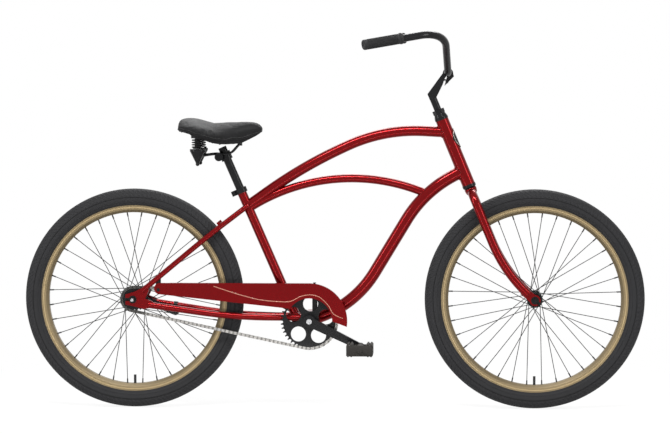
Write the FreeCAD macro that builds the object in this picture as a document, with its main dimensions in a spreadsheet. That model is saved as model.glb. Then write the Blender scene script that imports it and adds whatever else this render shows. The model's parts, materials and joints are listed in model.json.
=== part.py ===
import FreeCAD, Part
import math
import operator
import os

import Sketcher
from FreeCAD import Placement, Rotation, Vector

# Beach cruiser bicycle. +X is forward, +Y is the rider's left, +Z is up. The origin lies on the ground,
# half way between the wheels. Lengths are in millimetres, angles in degrees.

SIZES = {
    # Wheels
    "wheelbase": 1228,
    "bead_seat_diameter": 559,
    "tyre_section": 57,
    "tyre_wall": 4,
    "tube_wall": 1.2,
    "tube_clearance": 0.4,
    "bead_clearance": 0.3,
    "rim_width": 36,
    "rim_flange_height": 6.5,
    "rim_depth": 22,
    "rim_wall": 2,
    "rim_floor_width": 20,
    "rim_side_height": 13,
    "spoke_count": 36,
    "spoke_crossings": 3,
    "spoke_diameter": 2.3,
    "spoke_clearance": 0.2,
    "spoke_rim_offset": 3,
    "spoke_lean": 2,
    "nipple_diameter": 4.2,
    "nipple_length": 13,
    "valve_diameter": 8,
    "valve_length": 46,
    # Front hub and axle
    "front_flange_diameter": 48,
    "front_hole_circle": 40,
    "front_flange_spacing": 66,
    "front_barrel_diameter": 30,
    "front_hub_length": 80,
    "fork_end_spacing": 100,
    "fork_end_thickness": 5,
    "front_axle_diameter": 9.5,
    "front_axle_length": 144,
    # Rear hub, driver and axle
    "rear_flange_diameter": 68,
    "rear_hole_circle": 60,
    "rear_flange_spacing": 58,
    "rear_barrel_diameter": 46,
    "rear_hub_length": 76,
    "dropout_spacing": 116,
    "dropout_thickness": 6,
    "rear_axle_diameter": 9.5,
    "rear_axle_length": 172,
    "driver_diameter": 40,
    # Hub details that both hubs share
    "flange_thickness": 3,
    "hub_ball_diameter": 6,
    "hub_ball_count": 10,
    "hub_ball_clearance": 0.15,
    "cone_diameter": 22,
    "axle_clearance": 0.05,
    "axle_nut_across": 15,
    "axle_nut_height": 9,
    "axle_groove_gap": 0.5,
    "axle_groove_width": 2,
    "axle_groove_depth": 0.8,
    "washer_diameter": 24,
    "washer_thickness": 2,
    # Frame tubes
    "head_angle": 67.5,
    "head_tube_diameter": 40,
    "head_tube_bore": 34,
    "head_tube_length": 214,
    "top_tube_diameter": 31.8,
    "top_tube_drop": 42,
    "middle_tube_diameter": 25.4,
    "down_tube_diameter": 38.1,
    "down_tube_rise": 44,
    "frame_tube_wall": 1.6,
    "seat_angle": 66.4,
    "seat_tube_diameter": 28.6,
    "seat_tube_length": 456,
    "seat_tube_setback": 35.5,
    "top_tube_height": 397,
    "middle_tube_height": 388,
    "yoke_diameter": 33,
    "yoke_rise": 24,
    "bracket_forward": 540,
    "bracket_drop": 65.5,
    "bracket_shell_diameter": 57,
    "bracket_shell_bore": 51,
    "bracket_shell_width": 73,
    "chain_stay_diameter": 20,
    "chain_stay_half_gap": 24,
    "chain_stay_corner_half_gap": 44,
    "chain_stay_lift": 8,
    "seat_stay_diameter": 16.5,
    "seat_stay_half_gap": 19,
    "seat_stay_corner_half_gap": 42,
    "bridge_diameter": 14,
    "dropout_tang": 62,
    "dropout_height": 30,
    "slot_length": 26,
    "rack_boss_diameter": 10,
    "rack_boss_height": 8,
    "rack_boss_depth": 6.5,
    "rack_boss_bore": 5,
    "badge_length": 62,
    "badge_width": 36,
    "badge_thickness": 2,
    # Headset
    "cup_diameter": 42,
    "cup_height": 8,
    "cup_skirt": 10,
    "cup_wall": 2,
    "headset_ball_diameter": 4,
    "headset_ball_count": 20,
    "headset_gap": 0.5,
    "press_clearance": 0.05,
    "top_race_height": 11,
    "locknut_across": 32,
    "locknut_height": 13,
    # Fork
    "fork_rake": 53,
    "fork_length": 402,
    "fork_bend_start": 187,
    "fork_blade_diameter": 27,
    "fork_blade_wall": 1.6,
    "crown_depth": 26,
    "steerer_diameter": 25.4,
    "steerer_bore": 22.3,
    "fork_end_radius": 17,
    "fork_end_reach": 30,
    # Stem and handlebar
    "quill_diameter": 22.2,
    "quill_insert": 70,
    "stem_height": 303,
    "stem_reach": 71,
    "stem_lift": 35,
    "stem_arm_width": 24,
    "stem_arm_drop": 19,
    "stem_arm_round": 4,
    "stem_clamp_diameter": 32,
    "stem_clamp_width": 44,
    "stem_slot": 3,
    "stem_slot_turn": 46,
    "stem_ear_length": 30,
    "stem_ear_width": 28,
    "stem_ear_thickness": 24,
    "stem_ear_round": 3,
    "expander_bolt_diameter": 8,
    "pinch_bolt_diameter": 7,
    "bar_diameter": 22.2,
    "bar_wall": 2,
    "bar_clearance": 0.05,
    "bar_straight": 42,
    "bar_rise": 128,
    "bar_setback": 9,
    "bar_shoulder": 229,
    "bar_sweep": 245,
    "bar_end_drop": 87,
    "bar_half_width": 341,
    "grip_diameter": 31,
    "grip_length": 122,
    "grip_flange_diameter": 34,
    "grip_flange_thickness": 4,
    "grip_cap": 4,
    # Drive
    "chain_pitch": 12.7,
    "chain_line": 45,
    "chain_plate_thickness": 1,
    "chain_plate_height": 8.4,
    "chain_inner_width": 3.4,
    "chain_play": 0.1,
    "roller_diameter": 7.4,
    "chain_pin_diameter": 3.6,
    "ring_teeth": 42,
    "sprocket_teeth": 18,
    "tooth_height": 3.4,
    "tooth_clearance": 0.4,
    "ring_thickness": 2.2,
    "ring_hole_count": 5,
    "ring_hole_turn": 14,
    "ring_hole_diameter": 46,
    "ring_hole_circle": 105,
    "spindle_diameter": 17,
    "bracket_ball_diameter": 6,
    "bracket_ball_count": 11,
    "bracket_flange": 3,
    "bracket_gap": 0.5,
    "crank_length": 175,
    "crank_angle": -26,
    "crank_boss_diameter": 38,
    "crank_eye_diameter": 25,
    "crank_thickness": 13,
    "crank_standoff": 61,
    "crank_bolt_diameter": 15,
    "crank_bolt_height": 3,
    "pedal_spindle_diameter": 12,
    "pedal_length": 80,
    "pedal_width": 96,
    "pedal_thickness": 30,
    "pedal_gap": 18,
    "pedal_barrel_diameter": 26,
    "pedal_plate": 5,
    "pedal_bar": 20,
    "pedal_clearance": 0.08,
    # Chain guard and brake arm
    "guard_standoff": 56.5,
    "guard_sheet": 1.2,
    "guard_outer_radius": 116,
    "guard_inner_radius": 70,
    "guard_rear_reach": 475,
    "guard_end_height": 35,
    "guard_flange": 9,
    "guard_tail_angle": -8.5,
    "guard_mouth_angle": 147,
    "guard_screw_diameter": 5,
    "guard_screw_head": 10,
    "guard_screw_setback": 462,
    "guard_screw_rise": 95,
    "guard_bracket_width": 16,
    "guard_bracket_sheet": 3,
    "brake_arm_length": 130,
    "brake_arm_drop": 47,
    "brake_arm_width": 22,
    "brake_arm_thickness": 3,
    "brake_arm_standoff": 44.5,
    "brake_strap_width": 12,
    "brake_strap_sheet": 1.5,
    # Seat
    "post_diameter": 25.4,
    "post_wall": 2,
    "post_clearance": 0.05,
    "post_top_height": 593,
    "post_length": 258,
    "collar_height": 16,
    "collar_wall": 4.5,
    "collar_ear": 16,
    "collar_slot": 3,
    "collar_bolt_diameter": 6,
    "saddle_length": 260,
    "saddle_width": 235,
    "saddle_depth": 77.5,
    "saddle_rear_reach": 134,
    "saddle_clearance": 13.5,
    "saddle_seam_gap": 0.3,
    "pan_thickness": 3,
    "rail_diameter": 7,
    "rail_half_gap": 22,
    "rail_drop": 20,
    "rail_front_rise": 12,
    "rail_front_reach": 55,
    "rail_knee_reach": 27,
    "clamp_barrel_diameter": 26,
    "clamp_barrel_width": 60,
    "clamp_drop": 29,
    "clamp_setback": 8,
    "clamp_wall": 5,
    "clamp_height": 26,
    "nose_bracket_width": 14,
    "spring_setback": 71,
    "spring_half_gap": 50,
    "spring_coil_diameter": 36,
    "spring_wire": 4,
    "spring_turns": 4,
    "spring_height": 33,
    "spring_end_gap": 0.15,
    "cup_cone_diameter": 47,
    "cup_cone_height": 46,
    "cup_tip_diameter": 12,
    "cup_drop": 4,
    # How far a cutting shape reaches past what it cuts
    "overrun": 2,
}

doc = FreeCAD.newDocument("beach_cruiser")
sheet = doc.addObject("Spreadsheet::Sheet", "sizes")
for row, (alias, number) in enumerate(SIZES.items(), 1):
    sheet.set("A%d" % row, alias)
    sheet.set("B%d" % row, str(number))
    sheet.setAlias("B%d" % row, alias)
doc.recompute()


class Size:
    """A number worked out from the sheet, with the expression that gives it."""

    def __init__(self, value, text):
        self.value = float(value)
        self.text = text

    def __float__(self):
        return self.value

    def __neg__(self):
        return Size(-self.value, "(-%s)" % self.text)

    def __add__(self, other):
        return joined(self, "+", other)

    def __radd__(self, other):
        return joined(other, "+", self)

    def __sub__(self, other):
        return joined(self, "-", other)

    def __rsub__(self, other):
        return joined(other, "-", self)

    def __mul__(self, other):
        return joined(self, "*", other)

    def __rmul__(self, other):
        return joined(other, "*", self)

    def __truediv__(self, other):
        return joined(self, "/", other)

    def root(self):
        return Size(math.sqrt(self.value), "sqrt(%s)" % self.text)


OPERATIONS = {"+": operator.add, "-": operator.sub, "*": operator.mul, "/": operator.truediv}


def text_of(size):
    return size.text if isinstance(size, Size) else repr(float(size))


def joined(a, sign, b):
    value = OPERATIONS[sign](float(a), float(b))
    return Size(value, "(%s %s %s)" % (text_of(a), sign, text_of(b)))


class Sheet:
    """Reads each alias of the sheet as a Size."""

    def __getattr__(self, alias):
        return Size(sheet.get(alias), "sizes." + alias)


s = Sheet()
NODES = []
UP = Vector(0, 0, 1)
ALONG_Y = Rotation(Vector(1, 0, 0), -90)
SIDES = {"right": -1, "left": 1}


def node(label, item):
    """Gives a finished sub-part the name of its file."""
    item.Label = label
    NODES.append(item)
    return item


def bind(item, **sizes):
    for name, size in sizes.items():
        item.setExpression(name, text_of(size))


def at(x, y, z, turn=None):
    return Placement(Vector(x, y, z), turn or Rotation())


def facing(direction):
    return Rotation(UP, Vector(direction))


def box(name, length, width, height, place):
    item = doc.addObject("Part::Box", name)
    bind(item, Length=length, Width=width, Height=height)
    middle = Vector(-float(length) / 2, -float(width) / 2, 0)
    item.Placement = place.multiply(Placement(middle, Rotation()))
    return item


def cylinder(name, diameter, height, place):
    item = doc.addObject("Part::Cylinder", name)
    bind(item, Radius=diameter / 2, Height=height)
    item.Placement = place
    return item


def cross_cylinder(name, diameter, start_y, end_y, x, z):
    """A round bar along Y from start_y to end_y."""
    return cylinder(name, diameter, end_y - start_y, at(x, start_y, z, ALONG_Y))


def hexagon(name, across, height, place):
    item = doc.addObject("Part::Prism", name)
    item.Polygon = 6
    bind(item, Circumradius=across / math.sqrt(3), Height=height)
    item.Placement = place
    return item


def ball(name, diameter, x, y, z):
    item = doc.addObject("Part::Sphere", name)
    bind(item, Radius=diameter / 2)
    item.Placement = at(x, y, z)
    return item


def cut(name, base, *tools):
    for number, tool in enumerate(tools):
        result = doc.addObject("Part::Cut", "%s_cut_%d" % (name, number))
        result.Base = base
        result.Tool = tool
        base = result
    return base


def fuse(name, *shapes):
    result = doc.addObject("Part::MultiFuse", name + "_fused")
    result.Shapes = list(shapes)
    return result


def common(name, first, second):
    result = doc.addObject("Part::Common", name + "_common")
    result.Base = first
    result.Tool = second
    return result


def group(name, items):
    result = doc.addObject("Part::Compound", name + "_group")
    result.Links = list(items)
    return result


def origin_plane(body, role):
    return [item for item in body.Origin.OriginFeatures if item.Role == role][0]


def arc_edge(start, end, radius):
    """The arc of under a half circle from start to end: a positive radius has its centre on the left."""
    first, last = (start, end) if float(radius) > 0 else (end, start)
    chord = last.sub(first)
    rise = math.sqrt(max(float(radius) ** 2 - (chord.Length / 2) ** 2, 0))
    left = Vector(-chord.y, chord.x, 0).normalize()
    centre = first.add(chord.multiply(1 / 2)).add(left.multiply(rise))
    circle = Part.Circle(centre, UP, abs(float(radius)))
    return Part.ArcOfCircle(circle, circle.parameter(first), circle.parameter(last))


def draw_loop(sketch, points):
    """Draws a closed loop and holds each point by its two distances from the origin."""
    spots = [Vector(point[0], point[1], 0) for point in points]
    ends = []
    for number, point in enumerate(points):
        start, end = spots[number], spots[(number + 1) % len(points)]
        if len(point) == 2:
            ends.append((sketch.addGeometry(Part.LineSegment(start, end), False), 1, 2))
            continue
        edge = sketch.addGeometry(arc_edge(start, end, point[2]), False)
        ends.append((edge, 1, 2) if float(point[2]) > 0 else (edge, 2, 1))
    for number, (edge, first, last) in enumerate(ends):
        after = ends[(number + 1) % len(ends)]
        sketch.addConstraint(Sketcher.Constraint("Coincident", edge, last, after[0], after[1]))
    for point, (edge, first, last) in zip(points, ends):
        for axis, size in zip(("DistanceX", "DistanceY"), point):
            hold = sketch.addConstraint(Sketcher.Constraint(axis, -1, 1, edge, first, float(size)))
            sketch.setExpression("Constraints[%d]" % hold, text_of(size))
        if len(point) > 2:
            radius = point[2] if float(point[2]) > 0 else -point[2]
            hold = sketch.addConstraint(Sketcher.Constraint("Radius", edge, float(radius)))
            sketch.setExpression("Constraints[%d]" % hold, text_of(radius))


def new_sketch(body, name, role, loops, circles=()):
    sketch = body.newObject("Sketcher::SketchObject", name)
    sketch.AttachmentSupport = (origin_plane(body, role), [""])
    sketch.MapMode = "FlatFace"
    for points in loops:
        draw_loop(sketch, points)
    for x, y, diameter in circles:
        edge = sketch.addGeometry(Part.Circle(Vector(x, y, 0), UP, float(diameter) / 2), False)
        for axis, size in (("DistanceX", x), ("DistanceY", y)):
            hold = sketch.addConstraint(Sketcher.Constraint(axis, -1, 1, edge, 3, float(size)))
            sketch.setExpression("Constraints[%d]" % hold, text_of(size))
        hold = sketch.addConstraint(Sketcher.Constraint("Diameter", edge, float(diameter)))
        sketch.setExpression("Constraints[%d]" % hold, text_of(diameter))
    return sketch


def turned(name, loops, place):
    """A piece turned about its own Z axis: the loops give radius and height."""
    body = doc.addObject("PartDesign::Body", name + "_body")
    sketch = new_sketch(body, name + "_profile", "XZ_Plane", loops)
    turn = body.newObject("PartDesign::Revolution", name + "_turned")
    turn.Profile = sketch
    turn.ReferenceAxis = (sketch, ["V_Axis"])
    turn.Angle = 360
    body.Placement = place
    return body


def plate(name, loops, thickness, place, circles=(), role="XZ_Plane"):
    """A sheet drawn in X and Z, whose thickness runs from its placement towards -Y."""
    body = doc.addObject("PartDesign::Body", name + "_body")
    sketch = new_sketch(body, name + "_outline", role, loops, circles)
    pad = body.newObject("PartDesign::Pad", name + "_pad")
    pad.Profile = sketch
    bind(pad, Length=thickness)
    body.Placement = place
    return body


def polar_pocket(body, name, loops, count, circles=()):
    """Cuts a shape through a plate and repeats it round the plate's axis."""
    sketch = new_sketch(body, name + "_outline", "XZ_Plane", loops, circles)
    pocket = body.newObject("PartDesign::Pocket", name + "_pocket")
    pocket.Profile = sketch
    pocket.Type = "ThroughAll"
    pocket.Midplane = True
    pattern = body.newObject("PartDesign::PolarPattern", name + "_pattern")
    pattern.Originals = [pocket]
    pattern.Axis = (sketch, ["N_Axis"])
    pattern.Angle = 360
    pattern.Occurrences = round(float(count))
    body.Tip = pattern


def ring_loop(outer, inner, low, high):
    return [(inner / 2, low), (outer / 2, low), (outer / 2, high), (inner / 2, high)]


def bend_edge(first, corner, last):
    """The arc that leaves first towards a corner and comes from it to last, both as far from the corner."""
    back = first.sub(corner)
    ahead = last.sub(corner)
    half = back.getAngle(ahead) / 2
    drop = back.Length / math.cos(half) - back.Length * math.tan(half)
    middle = back.add(ahead).normalize()
    return Part.Arc(first, corner.add(middle.multiply(drop)), last).toShape()


def path_edges(points, bend_shares):
    """Straight runs joined by tangent arcs: a bend takes its share of the shorter run beside it."""
    edges = []
    start = points[0]
    for number, share in enumerate(bend_shares, 1):
        corner = points[number]
        back = points[number - 1].sub(corner)
        ahead = points[number + 1].sub(corner)
        reach = share * min(back.Length, ahead.Length)
        first = corner.add(back.normalize().multiply(reach))
        last = corner.add(ahead.normalize().multiply(reach))
        if start.distanceToPoint(first) > reach / 1000:
            edges.append(Part.LineSegment(start, first).toShape())
        edges.append(bend_edge(first, corner, last))
        start = last
    edges.append(Part.LineSegment(start, points[-1]).toShape())
    return edges


def spine(name, edges):
    item = doc.addObject("Part::Feature", name + "_spine")
    item.Shape = Part.Wire(edges)
    return item


def swept(name, route, diameter):
    """A round bar along a spine."""
    edge = route.Shape.Edges[0]
    circle = doc.addObject("Part::Circle", name + "_circle")
    bind(circle, Radius=diameter / 2)
    first = edge.FirstParameter
    circle.Placement = Placement(edge.valueAt(first), facing(edge.tangentAt(first)))
    item = doc.addObject("Part::Sweep", name + "_swept")
    item.Sections = [circle]
    item.Spine = (route, ["Edge%d" % (number + 1) for number in range(len(route.Shape.Edges))])
    item.Solid = True
    return item


def bent_tube(name, points, bend_shares, diameter, wall):
    """The outside of a bent tube and its bore."""
    route = spine(name, path_edges(points, bend_shares))
    return swept(name + "_outside", route, diameter), swept(name + "_bore", route, diameter - 2 * wall)


def beside(start, end, along_share, side_share):
    """A place beside a chord in the bicycle's middle plane, in shares of the chord's length."""
    chord = end.sub(start)
    across = Vector(-chord.z, 0, chord.x)
    return start.add(Vector(chord).multiply(along_share)).add(across.multiply(side_share))


# Main places

TYRE_RADIUS = s.bead_seat_diameter / 2 + s.tyre_section
REAR_AXLE = Vector(-s.wheelbase / 2, 0, TYRE_RADIUS)
FRONT_AXLE = Vector(s.wheelbase / 2, 0, TYRE_RADIUS)
BRACKET = REAR_AXLE.add(Vector(s.bracket_forward, 0, -s.bracket_drop))
STEER_TURN = Rotation(Vector(0, 1, 0), float(s.head_angle) - 90)
STEER_AXIS = STEER_TURN.multVec(UP)
HEAD_LOW = FRONT_AXLE.sub(STEER_TURN.multVec(Vector(s.fork_rake, 0, -s.fork_length)))
STEER = Placement(HEAD_LOW, STEER_TURN)
HEAD_HIGH = STEER.multVec(Vector(0, 0, s.head_tube_length))
SEAT_TURN = Rotation(Vector(0, 1, 0), float(s.seat_angle) - 90)
SEAT_FOOT = BRACKET.sub(SEAT_TURN.multVec(Vector(s.seat_tube_setback, 0, 0)))
SEAT = Placement(SEAT_FOOT, SEAT_TURN)
POST_TOP = SEAT.multVec(Vector(0, 0, s.post_top_height))
STAY_END_Y = s.dropout_spacing / 2 + s.dropout_thickness / 2


def up_steering(height):
    return STEER.multiply(at(0, 0, height))


def up_seat(height):
    return SEAT.multiply(at(0, 0, height))


def mirrored(vector, side):
    return Vector(vector.x, side * vector.y, vector.z)


# Frame tubes: the corners of each bent tube are shares of its chord, and so are its bends

TOP_TUBE_SHARES = ((0.308, 0.084), (0.726, 0.118))
TOP_TUBE_BEND_SHARES = (0.65, 0.63)
MIDDLE_TUBE_END_SHARES = (0.19, -0.032)
MIDDLE_TUBE_SHARES = ((0.475, 0.246),)
MIDDLE_TUBE_BEND_SHARES = (0.97,)
DOWN_TUBE_SHARES = ((0.182, -0.064), (0.818, 0.102))
DOWN_TUBE_BEND_SHARES = (0.9, 0.95)
CHAIN_STAY_SHARES = (0.458, 0.034)
SEAT_STAY_SHARES = (0.3625, -0.0105)
STAY_BEND_SHARE = 0.5
CHAIN_TANG_SHARES = (0.78, -0.55)
SEAT_TANG_SHARES = (0.47, 0.88)

head_outside = cylinder("head_outside", s.head_tube_diameter, s.head_tube_length, up_steering(0))
head_bore = cylinder(
    "head_bore", s.head_tube_bore, s.head_tube_length + 2 * s.overrun, up_steering(-s.overrun)
)
shell_outside = cross_cylinder(
    "shell_outside",
    s.bracket_shell_diameter,
    -s.bracket_shell_width / 2,
    s.bracket_shell_width / 2,
    BRACKET.x,
    BRACKET.z,
)
shell_bore = cross_cylinder(
    "shell_bore",
    s.bracket_shell_bore,
    -s.bracket_shell_width / 2 - s.overrun,
    s.bracket_shell_width / 2 + s.overrun,
    BRACKET.x,
    BRACKET.z,
)
seat_outside = cylinder(
    "seat_outside", s.seat_tube_diameter, s.seat_tube_length - s.yoke_rise, up_seat(s.yoke_rise)
)
seat_bore = cylinder(
    "seat_bore",
    s.post_diameter + 2 * s.post_clearance,
    s.seat_tube_length - s.yoke_rise + s.overrun,
    up_seat(s.yoke_rise),
)

TOP_START = SEAT.multVec(Vector(0, 0, s.top_tube_height))
TOP_END = STEER.multVec(Vector(0, 0, s.head_tube_length - s.top_tube_drop))
DOWN_START = STEER.multVec(Vector(0, 0, s.down_tube_rise))
MIDDLE_START = SEAT.multVec(Vector(0, 0, s.middle_tube_height))
MIDDLE_END = beside(DOWN_START, BRACKET, *MIDDLE_TUBE_END_SHARES)


def chord_points(start, end, shares):
    return [start] + [beside(start, end, *share) for share in shares] + [end]


top_outside, top_bore = bent_tube(
    "top_tube",
    chord_points(TOP_START, TOP_END, TOP_TUBE_SHARES),
    TOP_TUBE_BEND_SHARES,
    s.top_tube_diameter,
    s.frame_tube_wall,
)
middle_outside, middle_bore = bent_tube(
    "middle_tube",
    chord_points(MIDDLE_START, MIDDLE_END, MIDDLE_TUBE_SHARES),
    MIDDLE_TUBE_BEND_SHARES,
    s.middle_tube_diameter,
    s.frame_tube_wall,
)
down_outside, down_bore = bent_tube(
    "down_tube",
    chord_points(DOWN_START, BRACKET, DOWN_TUBE_SHARES),
    DOWN_TUBE_BEND_SHARES,
    s.down_tube_diameter,
    s.frame_tube_wall,
)

node("head_tube", cut("head_tube", head_outside, head_bore))
node("bottom_bracket_shell", cut("bottom_bracket_shell", shell_outside, shell_bore))
node("top_tube", cut("top_tube", top_outside, top_bore, head_outside, seat_outside))
node("down_tube", cut("down_tube", down_outside, down_bore, head_outside, shell_outside))
node(
    "middle_tube",
    cut("middle_tube", middle_outside, middle_bore, top_outside, seat_outside, down_outside),
)

YOKE = SEAT.multVec(Vector(0, 0, s.yoke_rise))
yoke_outside = cross_cylinder(
    "yoke_outside",
    s.yoke_diameter,
    -s.chain_stay_corner_half_gap / 2 - s.yoke_diameter / 4,
    s.chain_stay_corner_half_gap / 2 + s.yoke_diameter / 4,
    YOKE.x,
    YOKE.z,
)
node("seat_tube", cut("seat_tube", seat_outside, seat_bore, shell_outside, yoke_outside))

# Dropouts, with a slot for the axle that opens to the rear

TANG = float(s.dropout_tang)
TALL = float(s.dropout_height)
CHAIN_STAY_END = REAR_AXLE.add(Vector(CHAIN_TANG_SHARES[0] * TANG, STAY_END_Y, CHAIN_TANG_SHARES[1] * TALL))
SEAT_STAY_END = REAR_AXLE.add(Vector(SEAT_TANG_SHARES[0] * TANG, STAY_END_Y, SEAT_TANG_SHARES[1] * TALL))
DROPOUT_SHARES = (
    (-0.36, -0.52),
    (0.15, -0.75),
    (0.55, -0.98),
    (1.0, -0.82),
    (1.0, -0.2),
    (0.62, 0.08),
    (0.82, 0.95),
    (0.62, 1.36),
    (0.08, 0.78),
    (-0.36, 0.52),
)


def dropout_plate(side_name, side):
    slot = s.rear_axle_diameter + 2 * s.axle_clearance
    outline = [(along * s.dropout_tang, up * s.dropout_height) for along, up in DROPOUT_SHARES]
    blank = plate(
        "dropout_" + side_name,
        [outline],
        s.dropout_thickness,
        at(REAR_AXLE.x, STAY_END_Y * side + s.dropout_thickness / 2, REAR_AXLE.z),
    )
    low = STAY_END_Y * side - s.dropout_thickness
    high = STAY_END_Y * side + s.dropout_thickness
    eye = cross_cylinder("dropout_eye_" + side_name, slot, low, high, REAR_AXLE.x, REAR_AXLE.z)
    mouth = box(
        "dropout_mouth_" + side_name,
        s.slot_length,
        2 * s.dropout_thickness,
        slot,
        at(REAR_AXLE.x - s.slot_length / 2, STAY_END_Y * side, REAR_AXLE.z - slot / 2),
    )
    return cut("dropout_" + side_name, blank, eye, mouth)


dropouts = {name: dropout_plate(name, side) for name, side in SIDES.items()}
node("dropouts", group("dropouts", dropouts.values()))

# Stays: each is slotted over its dropout, and the seat stays end in round caps beside the seat tube


def stay_points(start, corner_shares, corner_half_gap, end, side):
    corner = beside(Vector(start.x, 0, start.z), Vector(end.x, 0, end.z), *corner_shares)
    corner.y = float(corner_half_gap)
    return [mirrored(point, side) for point in (start, corner, end)]


chain_stays = {}
chain_outsides = {}
seat_stays = {}
seat_stay_outsides = {}
CHAIN_STAY_START = BRACKET.add(Vector(0, s.chain_stay_half_gap, s.chain_stay_lift))
SEAT_STAY_START = TOP_START.add(Vector(0, s.seat_stay_half_gap, 0))
for side_name, side in SIDES.items():
    points = stay_points(
        CHAIN_STAY_START, CHAIN_STAY_SHARES, s.chain_stay_corner_half_gap, CHAIN_STAY_END, side
    )
    outside, bore = bent_tube(
        "chain_stay_" + side_name, points, [STAY_BEND_SHARE], s.chain_stay_diameter, s.frame_tube_wall
    )
    chain_outsides[side_name] = outside
    chain_stays[side_name] = cut(
        "chain_stay_" + side_name, outside, bore, shell_outside, dropouts[side_name]
    )
    points = stay_points(
        SEAT_STAY_START, SEAT_STAY_SHARES, s.seat_stay_corner_half_gap, SEAT_STAY_END, side
    )
    outside, bore = bent_tube(
        "seat_stay_" + side_name, points, [STAY_BEND_SHARE], s.seat_stay_diameter, s.frame_tube_wall
    )
    cap = ball("seat_stay_cap_" + side_name, s.seat_stay_diameter, points[0].x, points[0].y, points[0].z)
    seat_stay_outsides[side_name] = fuse("seat_stay_outside_" + side_name, outside, cap)
    seat_stays[side_name] = cut(
        "seat_stay_" + side_name,
        seat_stay_outsides[side_name],
        bore,
        seat_outside,
        top_outside,
        middle_outside,
        dropouts[side_name],
    )
node("chain_stays", group("chain_stays", chain_stays.values()))
node("seat_stays", group("seat_stays", seat_stays.values()))

# Small fittings that are brazed to the frame

CHAIN_BRIDGE_SHARE = 0.34
SEAT_BRIDGE_SHARE = 0.23
RACK_BOSS_SHARE = 0.245


def stay_place(start, end, corner_shares, share):
    """A place on the first run of a stay, seen from the side."""
    corner = beside(Vector(start.x, 0, start.z), Vector(end.x, 0, end.z), *corner_shares)
    run = corner.sub(Vector(start.x, 0, start.z))
    return Vector(start.x, 0, start.z).add(run.multiply(share / corner_shares[0]))


chain_bridge = stay_place(CHAIN_STAY_START, CHAIN_STAY_END, CHAIN_STAY_SHARES, CHAIN_BRIDGE_SHARE)
seat_bridge = stay_place(SEAT_STAY_START, SEAT_STAY_END, SEAT_STAY_SHARES, SEAT_BRIDGE_SHARE)
boss_place = stay_place(SEAT_STAY_START, SEAT_STAY_END, SEAT_STAY_SHARES, RACK_BOSS_SHARE)


def half_gap_at(start_gap, corner_gap, corner_shares, share):
    return start_gap + (corner_gap - start_gap) * (share / corner_shares[0])


def between_stays(name, place, diameter, half_gap, outsides):
    bar = cross_cylinder(name, diameter, -half_gap, half_gap, place.x, place.z)
    return cut(name, bar, *outsides.values())


chain_bridge_gap = half_gap_at(
    s.chain_stay_half_gap, s.chain_stay_corner_half_gap, CHAIN_STAY_SHARES, CHAIN_BRIDGE_SHARE
)
seat_bridge_gap = half_gap_at(
    s.seat_stay_half_gap, s.seat_stay_corner_half_gap, SEAT_STAY_SHARES, SEAT_BRIDGE_SHARE
)
boss_gap = half_gap_at(s.seat_stay_half_gap, s.seat_stay_corner_half_gap, SEAT_STAY_SHARES, RACK_BOSS_SHARE)
fittings = [
    between_stays("chain_bridge", chain_bridge, s.bridge_diameter, chain_bridge_gap, chain_outsides),
    between_stays("seat_bridge", seat_bridge, s.bridge_diameter, seat_bridge_gap, seat_stay_outsides),
    cut("yoke", yoke_outside, shell_outside, *chain_outsides.values()),
]
STAY_RUN = SEAT_STAY_END.sub(SEAT_STAY_START)
BOSS_TURN = facing(Vector(STAY_RUN.z, 0, -STAY_RUN.x))
for side_name, side in SIDES.items():
    middle = Vector(boss_place.x, side * float(boss_gap), boss_place.z)
    foot = Placement(middle, BOSS_TURN)
    top = s.seat_stay_diameter / 2 + s.rack_boss_height
    boss = cylinder("rack_boss_" + side_name, s.rack_boss_diameter, top, foot)
    drill = cylinder(
        "rack_boss_bore_" + side_name,
        s.rack_boss_bore,
        s.rack_boss_depth + s.overrun,
        foot.multiply(at(0, 0, top - s.rack_boss_depth)),
    )
    points = stay_points(
        SEAT_STAY_START, SEAT_STAY_SHARES, s.seat_stay_corner_half_gap, SEAT_STAY_END, side
    )
    seat = cylinder(
        "rack_boss_seat_" + side_name,
        s.seat_stay_diameter,
        4 * s.rack_boss_diameter,
        Placement(middle, facing(points[1].sub(points[0]))).multiply(at(0, 0, -2 * s.rack_boss_diameter)),
    )
    fittings.append(cut("rack_boss_" + side_name, boss, drill, seat))
node("frame_fittings", group("frame_fittings", fittings))

# Head badge: a blank oval that wraps the front of the head tube

BADGE_ARC_SHARE = 0.56
BADGE_HEIGHT_SHARE = 0.68


def head_badge():
    half_long = s.badge_length / 2
    half_wide = s.badge_width / 2
    bow = BADGE_ARC_SHARE * s.badge_length
    nought = 0 * half_long
    oval = [
        (nought, -half_long, bow),
        (half_wide, nought, bow),
        (nought, half_long, bow),
        (-half_wide, nought, bow),
    ]
    place = up_steering(BADGE_HEIGHT_SHARE * s.head_tube_length)
    blank = plate("badge_blank", [oval], s.head_tube_diameter, place, role="YZ_Plane")
    skin = cylinder(
        "badge_skin", s.head_tube_diameter + 2 * s.badge_thickness, s.head_tube_length, up_steering(0)
    )
    return cut("head_badge", common("head_badge", blank, skin), head_outside)


node("head_badge", head_badge())

# Headset: cups pressed into the head tube, balls, a crown race, and a top race under a locknut

FLOOR = 1.5 * s.cup_wall
BALL_SEAT = FLOOR + s.headset_ball_diameter + 2 * s.hub_ball_clearance
SKIRT_RADIUS = s.head_tube_bore / 2 - s.press_clearance
BALL_RING = SKIRT_RADIUS
STEERER_RADIUS = s.steerer_diameter / 2
RACE_SPIGOT = s.cup_diameter / 2 - s.cup_wall - s.headset_gap
CROWN_TOP = s.crown_depth - s.fork_blade_diameter / 2


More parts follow.
